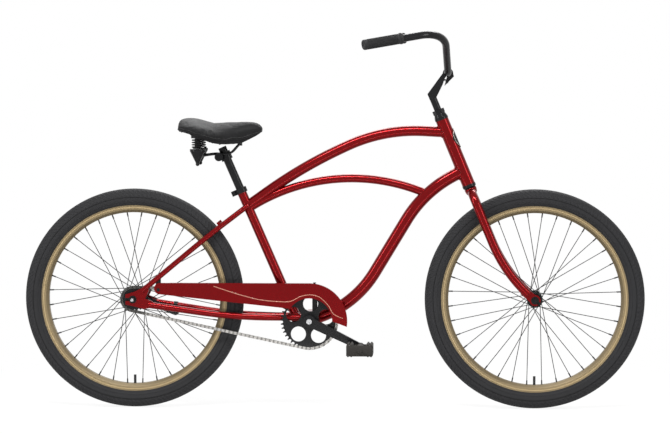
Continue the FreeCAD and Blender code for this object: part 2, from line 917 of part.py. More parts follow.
def headset_cup(name, start, away):
    """A cup on the end of the head tube; away is 1 for the upper cup and -1 for the lower one."""
    loop = [
        (SKIRT_RADIUS - s.cup_wall, start - away * s.cup_skirt),
        (SKIRT_RADIUS, start - away * s.cup_skirt),
        (SKIRT_RADIUS, start),
        (s.cup_diameter / 2, start),
        (s.cup_diameter / 2, start + away * s.cup_height),
        (s.cup_diameter / 2 - s.cup_wall, start + away * s.cup_height),
        (s.cup_diameter / 2 - s.cup_wall, start + away * FLOOR),
        (SKIRT_RADIUS - s.cup_wall, start + away * FLOOR),
    ]
    return turned(name, [loop], up_steering(0))


def headset_race(name, start, away, height):
    """A race on the steerer that closes a cup over its balls."""
    bore = STEERER_RADIUS + s.press_clearance
    rim = start + away * (s.cup_height + s.headset_gap)
    loop = [
        (bore, start + away * BALL_SEAT),
        (RACE_SPIGOT, start + away * BALL_SEAT),
        (RACE_SPIGOT, rim),
        (s.cup_diameter / 2 - s.headset_gap, rim),
        (STEERER_RADIUS + 2 * s.cup_wall, start + away * height),
        (bore, start + away * height),
    ]
    return turned(name, [loop], up_steering(0))


def ring_of_balls(name, count, ring_radius, diameter, place):
    """Balls round the Z axis of a placement."""
    total = round(float(count))
    balls = []
    for number in range(total):
        turn = 2 * math.pi * number / total
        spot = Vector(float(ring_radius) * math.cos(turn), float(ring_radius) * math.sin(turn), 0)
        spot = place.multVec(spot)
        balls.append(ball("%s_%d" % (name, number), diameter, spot.x, spot.y, spot.z))
    return balls


HEAD_TOP = s.head_tube_length
RACE_TOP = s.cup_height + s.headset_gap + s.top_race_height
node(
    "headset_cups",
    group(
        "headset_cups",
        [headset_cup("upper_cup", HEAD_TOP, 1), headset_cup("lower_cup", 0 * HEAD_TOP, -1)],
    ),
)
BALL_RISE = FLOOR + s.hub_ball_clearance + s.headset_ball_diameter / 2
locknut_blank = hexagon("locknut_blank", s.locknut_across, s.locknut_height, up_steering(HEAD_TOP + RACE_TOP))
locknut_bore = cylinder(
    "locknut_bore",
    s.steerer_diameter + 2 * s.press_clearance,
    s.locknut_height + 2 * s.overrun,
    up_steering(HEAD_TOP + RACE_TOP - s.overrun),
)
headset_parts = [
    headset_race("upper_race", HEAD_TOP, 1, RACE_TOP),
    headset_race("crown_race", 0 * HEAD_TOP, -1, CROWN_TOP),
    cut("locknut", locknut_blank, locknut_bore),
]
headset_parts += ring_of_balls(
    "upper_ball", s.headset_ball_count, BALL_RING, s.headset_ball_diameter, up_steering(HEAD_TOP + BALL_RISE)
)
headset_parts += ring_of_balls(
    "lower_ball", s.headset_ball_count, BALL_RING, s.headset_ball_diameter, up_steering(-BALL_RISE)
)
node("headset_races", group("headset_races", headset_parts))

# Fork

FORK_HALF_GAP = s.fork_end_spacing / 2 + s.fork_end_thickness / 2
CROWN_BEND_SHARE = 0.88
FORK_BEND_SHARE = 0.98
FORK_DROP = float(s.fork_length - s.fork_bend_start)
FORK_CORNER = (float(s.fork_rake) ** 2 + FORK_DROP ** 2) / (2 * FORK_DROP)
FORK_CORNER_LOW = -float(s.fork_bend_start) - FORK_CORNER


def fork_points(side):
    gap = side * float(FORK_HALF_GAP)
    points = [
        Vector(0, 0, -s.crown_depth),
        Vector(0, gap, -s.crown_depth),
        Vector(0, gap, FORK_CORNER_LOW),
        Vector(s.fork_rake, gap, -s.fork_length),
    ]
    return [STEER.multVec(point) for point in points]


def fork_end(name, side, points):
    """The flat end that holds the axle, with a tang up into the blade and a slot that opens away from it."""
    low = side * FORK_HALF_GAP - s.fork_end_thickness / 2
    high = side * FORK_HALF_GAP + s.fork_end_thickness / 2
    slot = s.front_axle_diameter + 2 * s.axle_clearance
    eye = cross_cylinder(name + "_round", 2 * s.fork_end_radius, low, high, FRONT_AXLE.x, FRONT_AXLE.z)
    rise = points[2].sub(points[3])
    up_blade = Placement(points[3], facing(rise))
    tang = box(
        name + "_tang",
        s.fork_blade_diameter,
        s.fork_end_thickness,
        s.fork_end_reach + s.fork_end_radius,
        up_blade,
    )
    hole = cross_cylinder(
        name + "_hole", slot, low - s.overrun, high + s.overrun, FRONT_AXLE.x, FRONT_AXLE.z
    )
    down_blade = Placement(points[3], facing(rise.negative()))
    mouth = box(name + "_mouth", slot, 2 * s.fork_end_thickness, 2 * s.fork_end_radius, down_blade)
    return cut(name, fuse(name, eye, tang), hole, mouth)


fork_ends = []
blade_outsides = []
for side_name, side in SIDES.items():
    points = fork_points(side)
    outside, bore = bent_tube(
        "fork_blade_" + side_name,
        points,
        [CROWN_BEND_SHARE, FORK_BEND_SHARE],
        s.fork_blade_diameter,
        s.fork_blade_wall,
    )
    end_plate = fork_end("fork_end_" + side_name, side, points)
    clear = cross_cylinder(
        "fork_clear_" + side_name,
        2 * s.fork_end_reach,
        side * FORK_HALF_GAP - s.fork_blade_diameter,
        side * FORK_HALF_GAP + s.fork_blade_diameter,
        FRONT_AXLE.x,
        FRONT_AXLE.z,
    )
    fork_ends.append(end_plate)
    blade_outsides.append(outside)
    node("fork_blade_" + side_name, cut("fork_blade_" + side_name, outside, bore, clear, end_plate))
node("fork_ends", group("fork_ends", fork_ends))

STEERER_TOP = HEAD_TOP + RACE_TOP + s.locknut_height
steerer_outside = cylinder(
    "steerer_outside", s.steerer_diameter, STEERER_TOP + s.crown_depth, up_steering(-s.crown_depth)
)
steerer_bore = cylinder(
    "steerer_bore",
    s.steerer_bore,
    STEERER_TOP + s.crown_depth + 2 * s.overrun,
    up_steering(-s.crown_depth - s.overrun),
)
node("steerer", cut("steerer", steerer_outside, steerer_bore, *blade_outsides))

# Stem: a quill in the steerer, a forged arm that leans forward, and a clamp split at its lower back

ARM_BELLY_SHARES = (0.61, 0.27)
ARM_TOP_SHARES = (-0.32, 0.28)
ARM_LOW_SHARES = (-0.37, -0.22)
EAR_FRONT_SHARES = (0.48, 0)
EAR_LOW_SHARES = (0.41, -0.5)
EAR_TIP_SHARES = (-0.78, -1)
EAR_BACK_SHARES = (-0.44, -0.56)
CLAMP_LOCAL = Vector(s.stem_reach, 0, s.stem_height + s.stem_lift)
CLAMP = STEER.multVec(CLAMP_LOCAL)
ALONG_X = Rotation(Vector(0, 1, 0), 90)
SLOT_TURN = Rotation(Vector(0, 1, 0), float(s.stem_slot_turn))
SPLIT_PLACE = Placement(CLAMP, STEER_TURN).multiply(Placement(Vector(0, 0, 0), SLOT_TURN))
PINCH_PLACE = SPLIT_PLACE.multiply(at(0, 0, -(s.stem_clamp_diameter / 2 + s.stem_ear_length) / 2, ALONG_X))


def by_clamp(shares):
    """A place in the side view of the stem, in shares of the clamp's diameter from its middle."""
    across, up = shares
    return (
        s.stem_reach + across * s.stem_clamp_diameter,
        s.stem_height + s.stem_lift + up * s.stem_clamp_diameter,
    )


def forging(name, outline, width, round_radius):
    """A plate across the steering axis whose outline edges are rounded."""
    body = plate(name, [outline], width, up_steering(0).multiply(at(0, width / 2, 0)))
    doc.recompute()
    blank = body.Tip
    flat = [
        "Edge%d" % (number + 1)
        for number, edge in enumerate(blank.Shape.Edges)
        if edge.Vertexes[0].Y == edge.Vertexes[-1].Y
    ]
    softened = body.newObject("PartDesign::Fillet", name + "_round")
    softened.Base = (blank, flat)
    bind(softened, Radius=round_radius)
    return body


def stem():
    quill = cylinder(
        "quill",
        s.quill_diameter,
        s.stem_height - STEERER_TOP + s.quill_insert,
        up_steering(STEERER_TOP - s.quill_insert),
    )
    quill_half = s.quill_diameter / 2
    low = s.stem_height - s.stem_arm_drop
    belly_across, belly_up = ARM_BELLY_SHARES
    arm_outline = [
        (-quill_half, low),
        (quill_half, low),
        (belly_across * s.stem_reach, s.stem_height + belly_up * s.stem_lift),
        by_clamp(ARM_LOW_SHARES),
        by_clamp(ARM_TOP_SHARES),
        (-quill_half, s.stem_height),
    ]
    ear_outline = [
        by_clamp(EAR_FRONT_SHARES),
        by_clamp((0, 0)),
        by_clamp(EAR_BACK_SHARES),
        by_clamp(EAR_TIP_SHARES),
        by_clamp(EAR_LOW_SHARES),
    ]
    arm = forging("stem_arm", arm_outline, s.stem_arm_width, s.stem_arm_round)
    ear = forging("stem_ear", ear_outline, s.stem_ear_width, s.stem_ear_round)
    half = s.stem_clamp_width / 2
    barrel = cross_cylinder("stem_barrel", s.stem_clamp_diameter, -half, half, CLAMP.x, CLAMP.z)
    slot = box(
        "stem_slot",
        s.stem_slot,
        s.stem_clamp_width + 2 * s.overrun,
        s.stem_ear_length,
        SPLIT_PLACE.multiply(at(0, 0, -s.stem_ear_length)),
    )
    bar_hole = cross_cylinder(
        "stem_bar_hole",
        s.bar_diameter + 2 * s.bar_clearance,
        -half - s.overrun,
        half + s.overrun,
        CLAMP.x,
        CLAMP.z,
    )
    bolt_hole = cylinder(
        "stem_bolt_hole",
        s.expander_bolt_diameter + 2 * s.bar_clearance,
        s.stem_height + s.stem_lift,
        up_steering(STEERER_TOP - s.quill_insert - s.overrun),
    )
    pinch_hole = cylinder(
        "stem_pinch_hole",
        s.pinch_bolt_diameter + 2 * s.bar_clearance,
        s.stem_ear_thickness,
        PINCH_PLACE.multiply(at(0, 0, -s.stem_ear_thickness / 2)),
    )
    pinch_face = cylinder(
        "stem_pinch_face",
        2 * s.pinch_bolt_diameter + s.stem_slot,
        s.stem_ear_length,
        PINCH_PLACE.multiply(at(0, 0, s.stem_ear_thickness / 2 - s.stem_ear_round)),
    )
    forged = fuse("stem", quill, arm, barrel, ear)
    return cut("stem", forged, bar_hole, slot, bolt_hole, pinch_hole, pinch_face)


node("stem", stem())


def stem_bolts():
    seat = s.stem_ear_thickness / 2 - s.stem_ear_round
    shank = cylinder(
        "pinch_shank",
        s.pinch_bolt_diameter,
        s.stem_ear_thickness / 2 + seat,
        PINCH_PLACE.multiply(at(0, 0, -s.stem_ear_thickness / 2)),
    )
    head = hexagon(
        "pinch_head",
        2 * s.pinch_bolt_diameter - s.stem_slot,
        s.pinch_bolt_diameter / 2,
        PINCH_PLACE.multiply(at(0, 0, seat)),
    )
    low = STEERER_TOP - s.quill_insert
    expander = cylinder(
        "expander_shank", s.expander_bolt_diameter, s.stem_height - low, up_steering(low)
    )
    expander_head = hexagon(
        "expander_head",
        2 * s.expander_bolt_diameter,
        s.expander_bolt_diameter,
        up_steering(low - s.expander_bolt_diameter),
    )
    return [fuse("pinch_bolt", shank, head), fuse("expander_bolt", expander, expander_head)]


node("stem_bolts", group("stem_bolts", stem_bolts()))

# Handlebar and grips

BAR_BEND_SHARES = (0.36, 0.22)


def bar_points(side):
    points = [
        Vector(CLAMP.x, s.bar_straight, CLAMP.z),
        Vector(CLAMP.x - s.bar_setback, s.bar_shoulder, CLAMP.z + s.bar_rise),
        Vector(CLAMP.x - s.bar_sweep, s.bar_half_width, CLAMP.z + s.bar_end_drop),
    ]
    return [mirrored(point, side) for point in points]


BAR_POINTS = list(reversed(bar_points(-1))) + bar_points(1)
bar_outside, bar_bore = bent_tube(
    "handlebar", BAR_POINTS, BAR_BEND_SHARES + BAR_BEND_SHARES[::-1], s.bar_diameter, s.bar_wall
)
node("handlebar", cut("handlebar", bar_outside, bar_bore))
for side_name, side in SIDES.items():
    shoulder, bar_end = bar_points(side)[1:]
    sleeve = s.bar_diameter / 2 + s.bar_clearance
    nought = 0 * sleeve
    profile = [
        (nought, -s.grip_cap),
        (s.grip_diameter / 2, -s.grip_cap),
        (s.grip_diameter / 2, s.grip_length - s.grip_flange_thickness),
        (s.grip_flange_diameter / 2, s.grip_length - s.grip_flange_thickness),
        (s.grip_flange_diameter / 2, s.grip_length),
        (sleeve, s.grip_length),
        (sleeve, nought),
        (nought, nought),
    ]
    place = Placement(bar_end, facing(shoulder.sub(bar_end)))
    node("grip_" + side_name, turned("grip_" + side_name, [profile], place))

# Wheels

RIM_TOP = s.bead_seat_diameter / 2 + s.rim_flange_height
RIM_FLOOR = RIM_TOP - s.rim_depth
SECTION_RADIUS = s.tyre_section / 2
SECTION_CENTRE = TYRE_RADIUS - SECTION_RADIUS


def tyre(name, place):
    half_bead = s.rim_width / 2 - s.rim_wall - s.bead_clearance
    shoulder = RIM_TOP + s.bead_clearance
    bead_low = s.bead_seat_diameter / 2 + s.bead_clearance
    drop = SECTION_CENTRE - shoulder
    outer = (SECTION_RADIUS * SECTION_RADIUS - drop * drop).root()
    bore_radius = SECTION_RADIUS - s.tyre_wall
    inner = (bore_radius * bore_radius - drop * drop).root()
    nought = 0 * drop
    loop = [
        (bead_low, -half_bead),
        (shoulder, -half_bead),
        (shoulder, -outer, SECTION_RADIUS),
        (SECTION_CENTRE, -SECTION_RADIUS, SECTION_RADIUS),
        (TYRE_RADIUS, nought, SECTION_RADIUS),
        (SECTION_CENTRE, SECTION_RADIUS, SECTION_RADIUS),
        (shoulder, outer),
        (shoulder, half_bead),
        (bead_low, half_bead),
        (bead_low, inner),
        (shoulder, inner, -bore_radius),
        (SECTION_CENTRE, bore_radius, -bore_radius),
        (TYRE_RADIUS - s.tyre_wall, nought, -bore_radius),
        (SECTION_CENTRE, -bore_radius, -bore_radius),
        (shoulder, -inner),
        (bead_low, -inner),
    ]
    return turned(name, [loop], place)


def inner_tube(name, place):
    section = SECTION_RADIUS - s.tyre_wall - s.tube_clearance
    rings = []
    for part, radius in (("skin", section), ("air", section - s.tube_wall)):
        ring = doc.addObject("Part::Torus", name + "_" + part)
        bind(ring, Radius1=SECTION_CENTRE, Radius2=radius)
        ring.Placement = place
        rings.append(ring)
    hub = place.Base
    low = hub.z - float(SECTION_CENTRE - section)
    valve = cylinder(name + "_valve", s.valve_diameter, s.valve_length, at(hub.x, 0, low))
    return group(name, [cut(name, *rings), cut(name + "_valve", valve, rings[0])])


def rim_blank(name, place):
    half = s.rim_width / 2
    floor = s.rim_floor_width / 2
    wall = s.rim_wall
    bed = s.bead_seat_diameter / 2
    knee = RIM_TOP - s.rim_side_height
    outside = [
        (RIM_FLOOR, -floor),
        (knee, -half),
        (RIM_TOP, -half),
        (RIM_TOP, wall - half),
        (bed, wall - half),
        (bed, half - wall),
        (RIM_TOP, half - wall),
        (RIM_TOP, half),
        (knee, half),
        (RIM_FLOOR, floor),
    ]
    hollow = [
        (RIM_FLOOR + wall, -floor),
        (knee, wall - half),
        (bed - wall, wall - half),
        (bed - wall, half - wall),
        (knee, half - wall),
        (RIM_FLOOR + wall, floor),
    ]
    return turned(name, [outside, hollow], place)


def lacing(hub, hole_circle, flange_spacing):
    """The two ends and the flange side of each spoke: neighbours leave the flange forwards and backwards."""
    count = round(float(s.spoke_count))
    step = 2 * math.pi / count
    reach = 2 * step * float(s.spoke_crossings)
    seat = s.flange_thickness / 2 + s.spoke_diameter / 2 + s.spoke_clearance
    spokes = []
    for number in range(count):
        side = 1 if number % 2 else -1
        lead = 1 if (number // 2) % 2 else -1
        hub_turn = (number + 1 / 2) * step
        rim_turn = hub_turn + lead * reach
        off_flange = float(seat + s.spoke_lean if lead > 0 else seat)
        start = Vector(
            math.sin(hub_turn) * float(hole_circle / 2),
            side * (float(flange_spacing / 2) + lead * off_flange),
            math.cos(hub_turn) * float(hole_circle / 2),
        )
        end = Vector(
            math.sin(rim_turn) * float(RIM_FLOOR),
            side * float(s.spoke_rim_offset),
            math.cos(rim_turn) * float(RIM_FLOOR),
        )
        through = off_flange + float(s.flange_thickness / 2)
        spokes.append((hub.add(start), hub.add(end), Vector(0, -lead * side * through, 0)))
    return spokes


def spoke_shapes(start, end, through):
    """A spoke with its elbow through the flange and its head, and the nipple that pulls it to the rim."""
    wire = float(s.spoke_diameter) / 2
    reach = float(s.nipple_length)
    run = end.sub(start)
    length = run.Length - reach
    run.normalize()
    shaft = Part.makeCylinder(wire, length, start, run)
    elbow = Part.makeCylinder(wire, through.Length + wire, start, through)
    head_start = start.add(Vector(through).normalize().multiply(through.Length + wire))
    head = Part.makeCylinder(2 * wire, wire, head_start, through)
    spoke = shaft.fuse([Part.makeSphere(wire, start), elbow, head])
    seat = start.add(Vector(run).multiply(length))
    body = Part.makeCylinder(float(s.nipple_diameter) / 2, reach + 2 * float(s.rim_wall), seat, run)
    return [spoke, body]


def spoke_set(name, spokes):
    item = doc.addObject("Part::Feature", name + "_lacing")
    shapes = []
    for start, end, through in spokes:
        shapes += spoke_shapes(start, end, through)
    item.Shape = Part.makeCompound(shapes)
    return item


def drilled_rim(name, place, spokes):
    holes = []
    drill = s.nipple_diameter + 2 * s.spoke_clearance
    for number, (start, end, through) in enumerate(spokes):
        turn = facing(end.sub(start))
        spot = end.sub(turn.multVec(Vector(0, 0, s.nipple_length)))
        hole = cylinder("%s_hole_%d" % (name, number), drill, 2 * s.nipple_length, Placement(spot, turn))
        holes.append(hole)
    hub = place.Base
    valve_drill = s.valve_diameter + 2 * s.spoke_clearance
    low = hub.z - float(RIM_TOP)
    holes.append(cylinder(name + "_valve_hole", valve_drill, 2 * s.rim_depth, at(hub.x, 0, low)))
    return cut(name, rim_blank(name, place), group(name + "_holes", holes))


def hub_ball_sizes(length):
    """Where the balls of a hub sit, from its middle: pocket floor, ball and cone."""
    ball = s.hub_ball_diameter
    gap = s.hub_ball_clearance
    floor = length / 2 - ball - 2 * gap - s.flange_thickness / 3
    return floor, floor + gap + ball / 2, floor + 2 * gap + ball


def ball_ring_radius(axle_diameter):
    return axle_diameter / 2 + s.hub_ball_diameter / 2 + s.cone_diameter / 11


def hub_shell(name, place, sizes, axle_diameter, spokes):
    length, spacing, flange, barrel = sizes
    pocket = ball_ring_radius(axle_diameter) + s.hub_ball_diameter / 2 + s.hub_ball_clearance
    bore = axle_diameter / 2 + s.flange_thickness
    collar = pocket + s.flange_thickness
    floor = hub_ball_sizes(length)[0]
    near = spacing / 2 - s.flange_thickness / 2
    far = spacing / 2 + s.flange_thickness / 2
    half_loop = [
        (barrel / 2, near),
        (flange / 2, near),
        (flange / 2, far),
        (collar, far),
        (collar, length / 2),
        (pocket, length / 2),
        (pocket, floor),
        (bore, floor),
    ]
    loop = half_loop + [(radius, -height) for radius, height in reversed(half_loop)]
    drill = s.spoke_diameter + 2 * s.spoke_clearance
    holes = []
    for number, (start, end, through) in enumerate(spokes):
        low = math.copysign(float(spacing / 2), start.y) - float(s.flange_thickness)
        hole = cylinder(
            "%s_hole_%d" % (name, number), drill, 2 * s.flange_thickness, at(start.x, low, start.z, ALONG_Y)
        )
        holes.append(hole)
    shell = cut(name, turned(name, [loop], place), group(name + "_holes", holes))
    balls = []
    for side_name, side in SIDES.items():
        ring = place.multiply(at(0, 0, side * hub_ball_sizes(length)[1]))
        balls += ring_of_balls(
            name + "_ball_" + side_name,
            s.hub_ball_count,
            ball_ring_radius(axle_diameter),
            s.hub_ball_diameter,
            ring,
        )
    return group(name, [shell] + balls)


def wheel(end, hub, sizes, hole_circle, axle_diameter):
    place = Placement(hub, ALONG_Y)
    spokes = lacing(hub, hole_circle, sizes[1])
    node(end + "_tyre", tyre(end + "_tyre", place))
    node(end + "_inner_tube", inner_tube(end + "_inner_tube", place))
    node(end + "_rim", drilled_rim(end + "_rim", place, spokes))
    node(end + "_spokes", spoke_set(end + "_spokes", spokes))
    node(end + "_hub", hub_shell(end + "_hub", place, sizes, axle_diameter, spokes))


def axle(name, hub, diameter, length, hub_length, clamped, shoulders):
    """An axle with a cone on each side and a groove outside each nut.

    clamped is the outer face of what the nuts clamp, and shoulders give where the cones end.
    """
    bar = cross_cylinder(name + "_bar", diameter, -length / 2, length / 2, hub.x, hub.z)
    bore = s.axle_clearance + diameter / 2
    start = hub_ball_sizes(hub_length)[2]
    place = Placement(hub, ALONG_Y)
    near = clamped + s.washer_thickness + s.axle_nut_height + s.axle_groove_gap
    grooves = []
    for side_name, side in SIDES.items():
        loop = ring_loop(
            diameter + 2 * s.overrun,
            diameter - 2 * s.axle_groove_depth,
            side * near,
            side * (near + s.axle_groove_width),
        )
        grooves.append(turned("%s_groove_%s" % (name, side_name), [loop], place))
    pieces = [cut(name + "_bar", bar, *grooves)]
    for side_name, side in SIDES.items():
        for number, (low, high) in enumerate(shoulders[side_name]):
            low = start if low is None else low
            loop = ring_loop(s.cone_diameter, 2 * bore, side * low, side * high)
            pieces.append(turned("%s_cone_%s_%d" % (name, side_name, number), [loop], place))
    return group(name, pieces)


def axle_nuts(name, hub, diameter, start):
    """A washer and a nut on each end of an axle, from the outer face of what they clamp."""
    pieces = []
    for side_name, side in SIDES.items():
        turn = ALONG_Y if side > 0 else ALONG_Y.inverted()
        place = at(hub.x, side * start, hub.z, turn)
        bore = diameter + 2 * s.axle_clearance
        reach = s.washer_thickness + s.axle_nut_height
        hole = cylinder(
            name + "_hole_" + side_name, bore, reach + 2 * s.overrun, place.multiply(at(0, 0, -s.overrun))
        )
        washer = cylinder(name + "_washer_" + side_name, s.washer_diameter, s.washer_thickness, place)
        nut = hexagon(
            name + "_nut_" + side_name,
            s.axle_nut_across,
            s.axle_nut_height,
            place.multiply(at(0, 0, s.washer_thickness)),
        )
        pieces.append(cut(name + "_washer_" + side_name, washer, hole))
        pieces.append(cut(name + "_nut_" + side_name, nut, hole))
    return group(name, pieces)


FRONT_SIZES = (s.front_hub_length, s.front_flange_spacing, s.front_flange_diameter, s.front_barrel_diameter)
REAR_SIZES = (s.rear_hub_length, s.rear_flange_spacing, s.rear_flange_diameter, s.rear_barrel_diameter)
wheel("front", FRONT_AXLE, FRONT_SIZES, s.front_hole_circle, s.front_axle_diameter)
wheel("rear", REAR_AXLE, REAR_SIZES, s.rear_hole_circle, s.rear_axle_diameter)
FORK_FACE = s.fork_end_spacing / 2
DROPOUT_FACE = s.dropout_spacing / 2
BRAKE_FACE = s.brake_arm_standoff
BRAKE_BACK = s.brake_arm_standoff + s.brake_arm_thickness
node(
    "front_axle",
    axle(
        "front_axle",
        FRONT_AXLE,
        s.front_axle_diameter,
        s.front_axle_length,
        s.front_hub_length,
        FORK_FACE + s.fork_end_thickness,
        {"right": [(None, FORK_FACE)], "left": [(None, FORK_FACE)]},
    ),
)
node(
    "rear_axle",
    axle(
        "rear_axle",
        REAR_AXLE,
        s.rear_axle_diameter,
        s.rear_axle_length,
        s.rear_hub_length,
        DROPOUT_FACE + s.dropout_thickness,
        {"right": [(None, DROPOUT_FACE)], "left": [(None, BRAKE_FACE), (BRAKE_BACK, DROPOUT_FACE)]},
    ),
)
node(
    "front_axle_nuts",
    axle_nuts("front_axle_nuts", FRONT_AXLE, s.front_axle_diameter, FORK_FACE + s.fork_end_thickness),
)
node(
    "rear_axle_nuts",
    axle_nuts("rear_axle_nuts", REAR_AXLE, s.rear_axle_diameter, DROPOUT_FACE + s.dropout_thickness),
)

# Chain, chainring and sprocket: the chain runs from the chainring's upper tangent forwards and down

TOOTH_OPENING_SHARE = 0.45
RING_RADIUS = float(s.ring_teeth * s.chain_pitch) / (2 * math.pi)
SPROCKET_RADIUS = float(s.sprocket_teeth * s.chain_pitch) / (2 * math.pi)
CENTRES = BRACKET.sub(REAR_AXLE)
LEAN = math.atan2(CENTRES.z, CENTRES.x)
TANGENT = math.acos((SPROCKET_RADIUS - RING_RADIUS) / CENTRES.Length)
RING_WRAP = 2 * TANGENT * RING_RADIUS
SPROCKET_WRAP = (2 * math.pi - 2 * TANGENT) * SPROCKET_RADIUS
RUN = CENTRES.Length * math.sin(TANGENT)
CHAIN_LENGTH = RING_WRAP + SPROCKET_WRAP + 2 * RUN
LINK_COUNT = 2 * round(CHAIN_LENGTH / float(s.chain_pitch) / 2)
LINK_STEP = CHAIN_LENGTH / LINK_COUNT


def on_wheel(centre, radius, turn):
    """A place at a height angle round a wheel, on the chain line."""
    return Vector(
        centre.x + radius * math.cos(turn), -float(s.chain_line), centre.z + radius * math.sin(turn)
    )


def chain_place(distance):
    """The place that lies this far along the chain."""
    upper = LEAN + TANGENT
    lower = LEAN - TANGENT
    if distance < RING_WRAP:
        return on_wheel(BRACKET, RING_RADIUS, upper - distance / RING_RADIUS)
    distance -= RING_WRAP
    if distance < RUN:
        start = on_wheel(BRACKET, RING_RADIUS, lower)
        end = on_wheel(REAR_AXLE, SPROCKET_RADIUS, lower)
        return start.add(end.sub(start).multiply(distance / RUN))
    distance -= RUN
    if distance < SPROCKET_WRAP:
        return on_wheel(REAR_AXLE, SPROCKET_RADIUS, lower - distance / SPROCKET_RADIUS)
    distance -= SPROCKET_WRAP
    start = on_wheel(REAR_AXLE, SPROCKET_RADIUS, upper)
    end = on_wheel(BRACKET, RING_RADIUS, upper)
    return start.add(end.sub(start).multiply(distance / RUN))


def link_plate(near, far):
    """A long round-ended plate along X, one pitch between its ends, from near to far in Y."""
    end_radius = float(s.chain_plate_height) / 2
    half = float(s.chain_pitch) / 2
    depth = far - near
    ends = [
        Part.makeCylinder(end_radius, depth, Vector(place, near, 0), Vector(0, 1, 0))
        for place in (-half, half)
    ]
    waist = Part.makeBox(2 * half, depth, 2 * end_radius, Vector(-half, near, -end_radius))
    return ends[0].fuse([ends[1], waist]).removeSplitter()


def link_rods(diameter, half_width):
    half = float(s.chain_pitch) / 2
    radius = float(diameter) / 2
    width = float(half_width)
    return [
        Part.makeCylinder(radius, 2 * width, Vector(place, -width, 0), Vector(0, 1, 0))
        for place in (-half, half)
    ]


def chain_links():
    sheet_metal = s.chain_plate_thickness
    inner_near = s.chain_inner_width / 2
    inner_far = inner_near + sheet_metal
    outer_near = inner_far + s.chain_play
    outer_far = outer_near + sheet_metal
    pin_reach = outer_far + sheet_metal / 2
    shapes = []
    for near, far, rods, half_width in (
        (inner_near, inner_far, s.roller_diameter, inner_near + sheet_metal / 2),
        (outer_near, outer_far, s.chain_pin_diameter, pin_reach),
    ):
        near, far = float(near), float(far)
        link = link_plate(near, far).fuse([link_plate(-far, -near)] + link_rods(rods, half_width))
        shapes.append(link.removeSplitter())
    bores = link_rods(s.chain_pin_diameter + 2 * s.chain_play, 2 * pin_reach)
    return shapes[0].cut(bores), shapes[1]


def chain():
    inner, outer = chain_links()
    links = []
    for number in range(LINK_COUNT):
        start = chain_place(number * LINK_STEP)
        end = chain_place((number + 1) % LINK_COUNT * LINK_STEP)
        run = end.sub(start)
        link = (outer if number % 2 else inner).copy()
        turn = Rotation(Vector(0, -1, 0), math.degrees(math.atan2(run.z, run.x)))
        link.Placement = Placement(start.add(end).multiply(1 / 2), turn)
        links.append(link)
    item = doc.addObject("Part::Feature", "chain_links")
    item.Shape = Part.makeCompound(links)
    return item


node("chain", chain())


def toothed(name, bore, teeth, centre, first_gap):
    """A toothed wheel on the chain line, with one of its gaps at the height angle first_gap."""
    pitch_radius = teeth * s.chain_pitch / (2 * math.pi)
    tip = 2 * (pitch_radius + s.tooth_height)
    seat = s.roller_diameter / 2 + s.tooth_clearance
    mouth = pitch_radius + s.tooth_height + s.overrun
    opening = TOOTH_OPENING_SHARE * s.chain_pitch
    nought = 0 * tip
    place = at(
        centre.x,
        s.ring_thickness / 2 - s.chain_line,
        centre.z,
        Rotation(Vector(0, -1, 0), math.degrees(first_gap)),
    )
    body = plate(name, [], s.ring_thickness, place, [(nought, nought, tip), (nought, nought, bore)])
    gap = [
        (mouth, opening),
        (pitch_radius, seat, seat),
        (pitch_radius - seat, nought, seat),
        (pitch_radius, -seat),
        (mouth, -opening),
    ]
    polar_pocket(body, name + "_gaps", [gap], teeth)
    return body


ring_gap = LEAN + TANGENT
chainring = toothed(
    "chainring", s.spindle_diameter + 2 * s.press_clearance, s.ring_teeth, BRACKET, ring_gap
)
hole_turn = math.radians(float(s.ring_hole_turn)) - ring_gap
hole_spot = (
    s.ring_hole_circle / 2 * math.cos(hole_turn),
    s.ring_hole_circle / 2 * math.sin(hole_turn),
    s.ring_hole_diameter,
)
polar_pocket(chainring, "chainring_windows", [], s.ring_hole_count, [hole_spot])
node("chainring", chainring)

first_on_sprocket = math.ceil((RING_WRAP + RUN) / LINK_STEP)
past = first_on_sprocket * LINK_STEP - RING_WRAP - RUN
sprocket = toothed(
    "sprocket",
    s.driver_diameter,
    s.sprocket_teeth,
    REAR_AXLE,
    LEAN - TANGENT - past / SPROCKET_RADIUS,
)
driver_loop = ring_loop(
    s.driver_diameter - 2 * s.press_clearance,
    s.cone_diameter + 2 * s.bracket_gap,
    -s.rear_hub_length / 2 - s.bracket_gap,
    -s.chain_line - 2 * s.ring_thickness,
)
driver = turned("driver", [driver_loop], Placement(REAR_AXLE, ALONG_Y))
node("rear_sprocket", group("rear_sprocket", [sprocket, driver]))

# Bottom bracket

CUP_FLOOR = s.bracket_shell_width / 2 - s.bracket_flange / 3
BRACKET_RING = s.spindle_diameter / 2 + s.bracket_ball_diameter / 2 + s.bracket_flange / 3
BRACKET_POCKET = BRACKET_RING + s.bracket_ball_diameter / 2 + s.hub_ball_clearance
SPINDLE_SHOULDER = CUP_FLOOR - s.bracket_ball_diameter - 2 * s.hub_ball_clearance
BRACKET_PLACE = Placement(BRACKET, ALONG_Y)


def bracket_cup(name, side):
    half = s.bracket_shell_width / 2
    skirt = s.bracket_shell_bore / 2 - s.press_clearance
    flange = s.bracket_shell_diameter / 2 - s.bracket_flange / 2
    eye = s.spindle_diameter / 2 + s.bracket_gap
    loop = [
        (BRACKET_POCKET, side * (half - s.cup_skirt)),
        (skirt, side * (half - s.cup_skirt)),
        (skirt, side * half),
        (flange, side * half),
        (flange, side * (half + s.bracket_flange)),
        (eye, side * (half + s.bracket_flange)),
        (eye, side * CUP_FLOOR),
        (BRACKET_POCKET, side * CUP_FLOOR),
    ]
    return turned(name, [loop], BRACKET_PLACE)


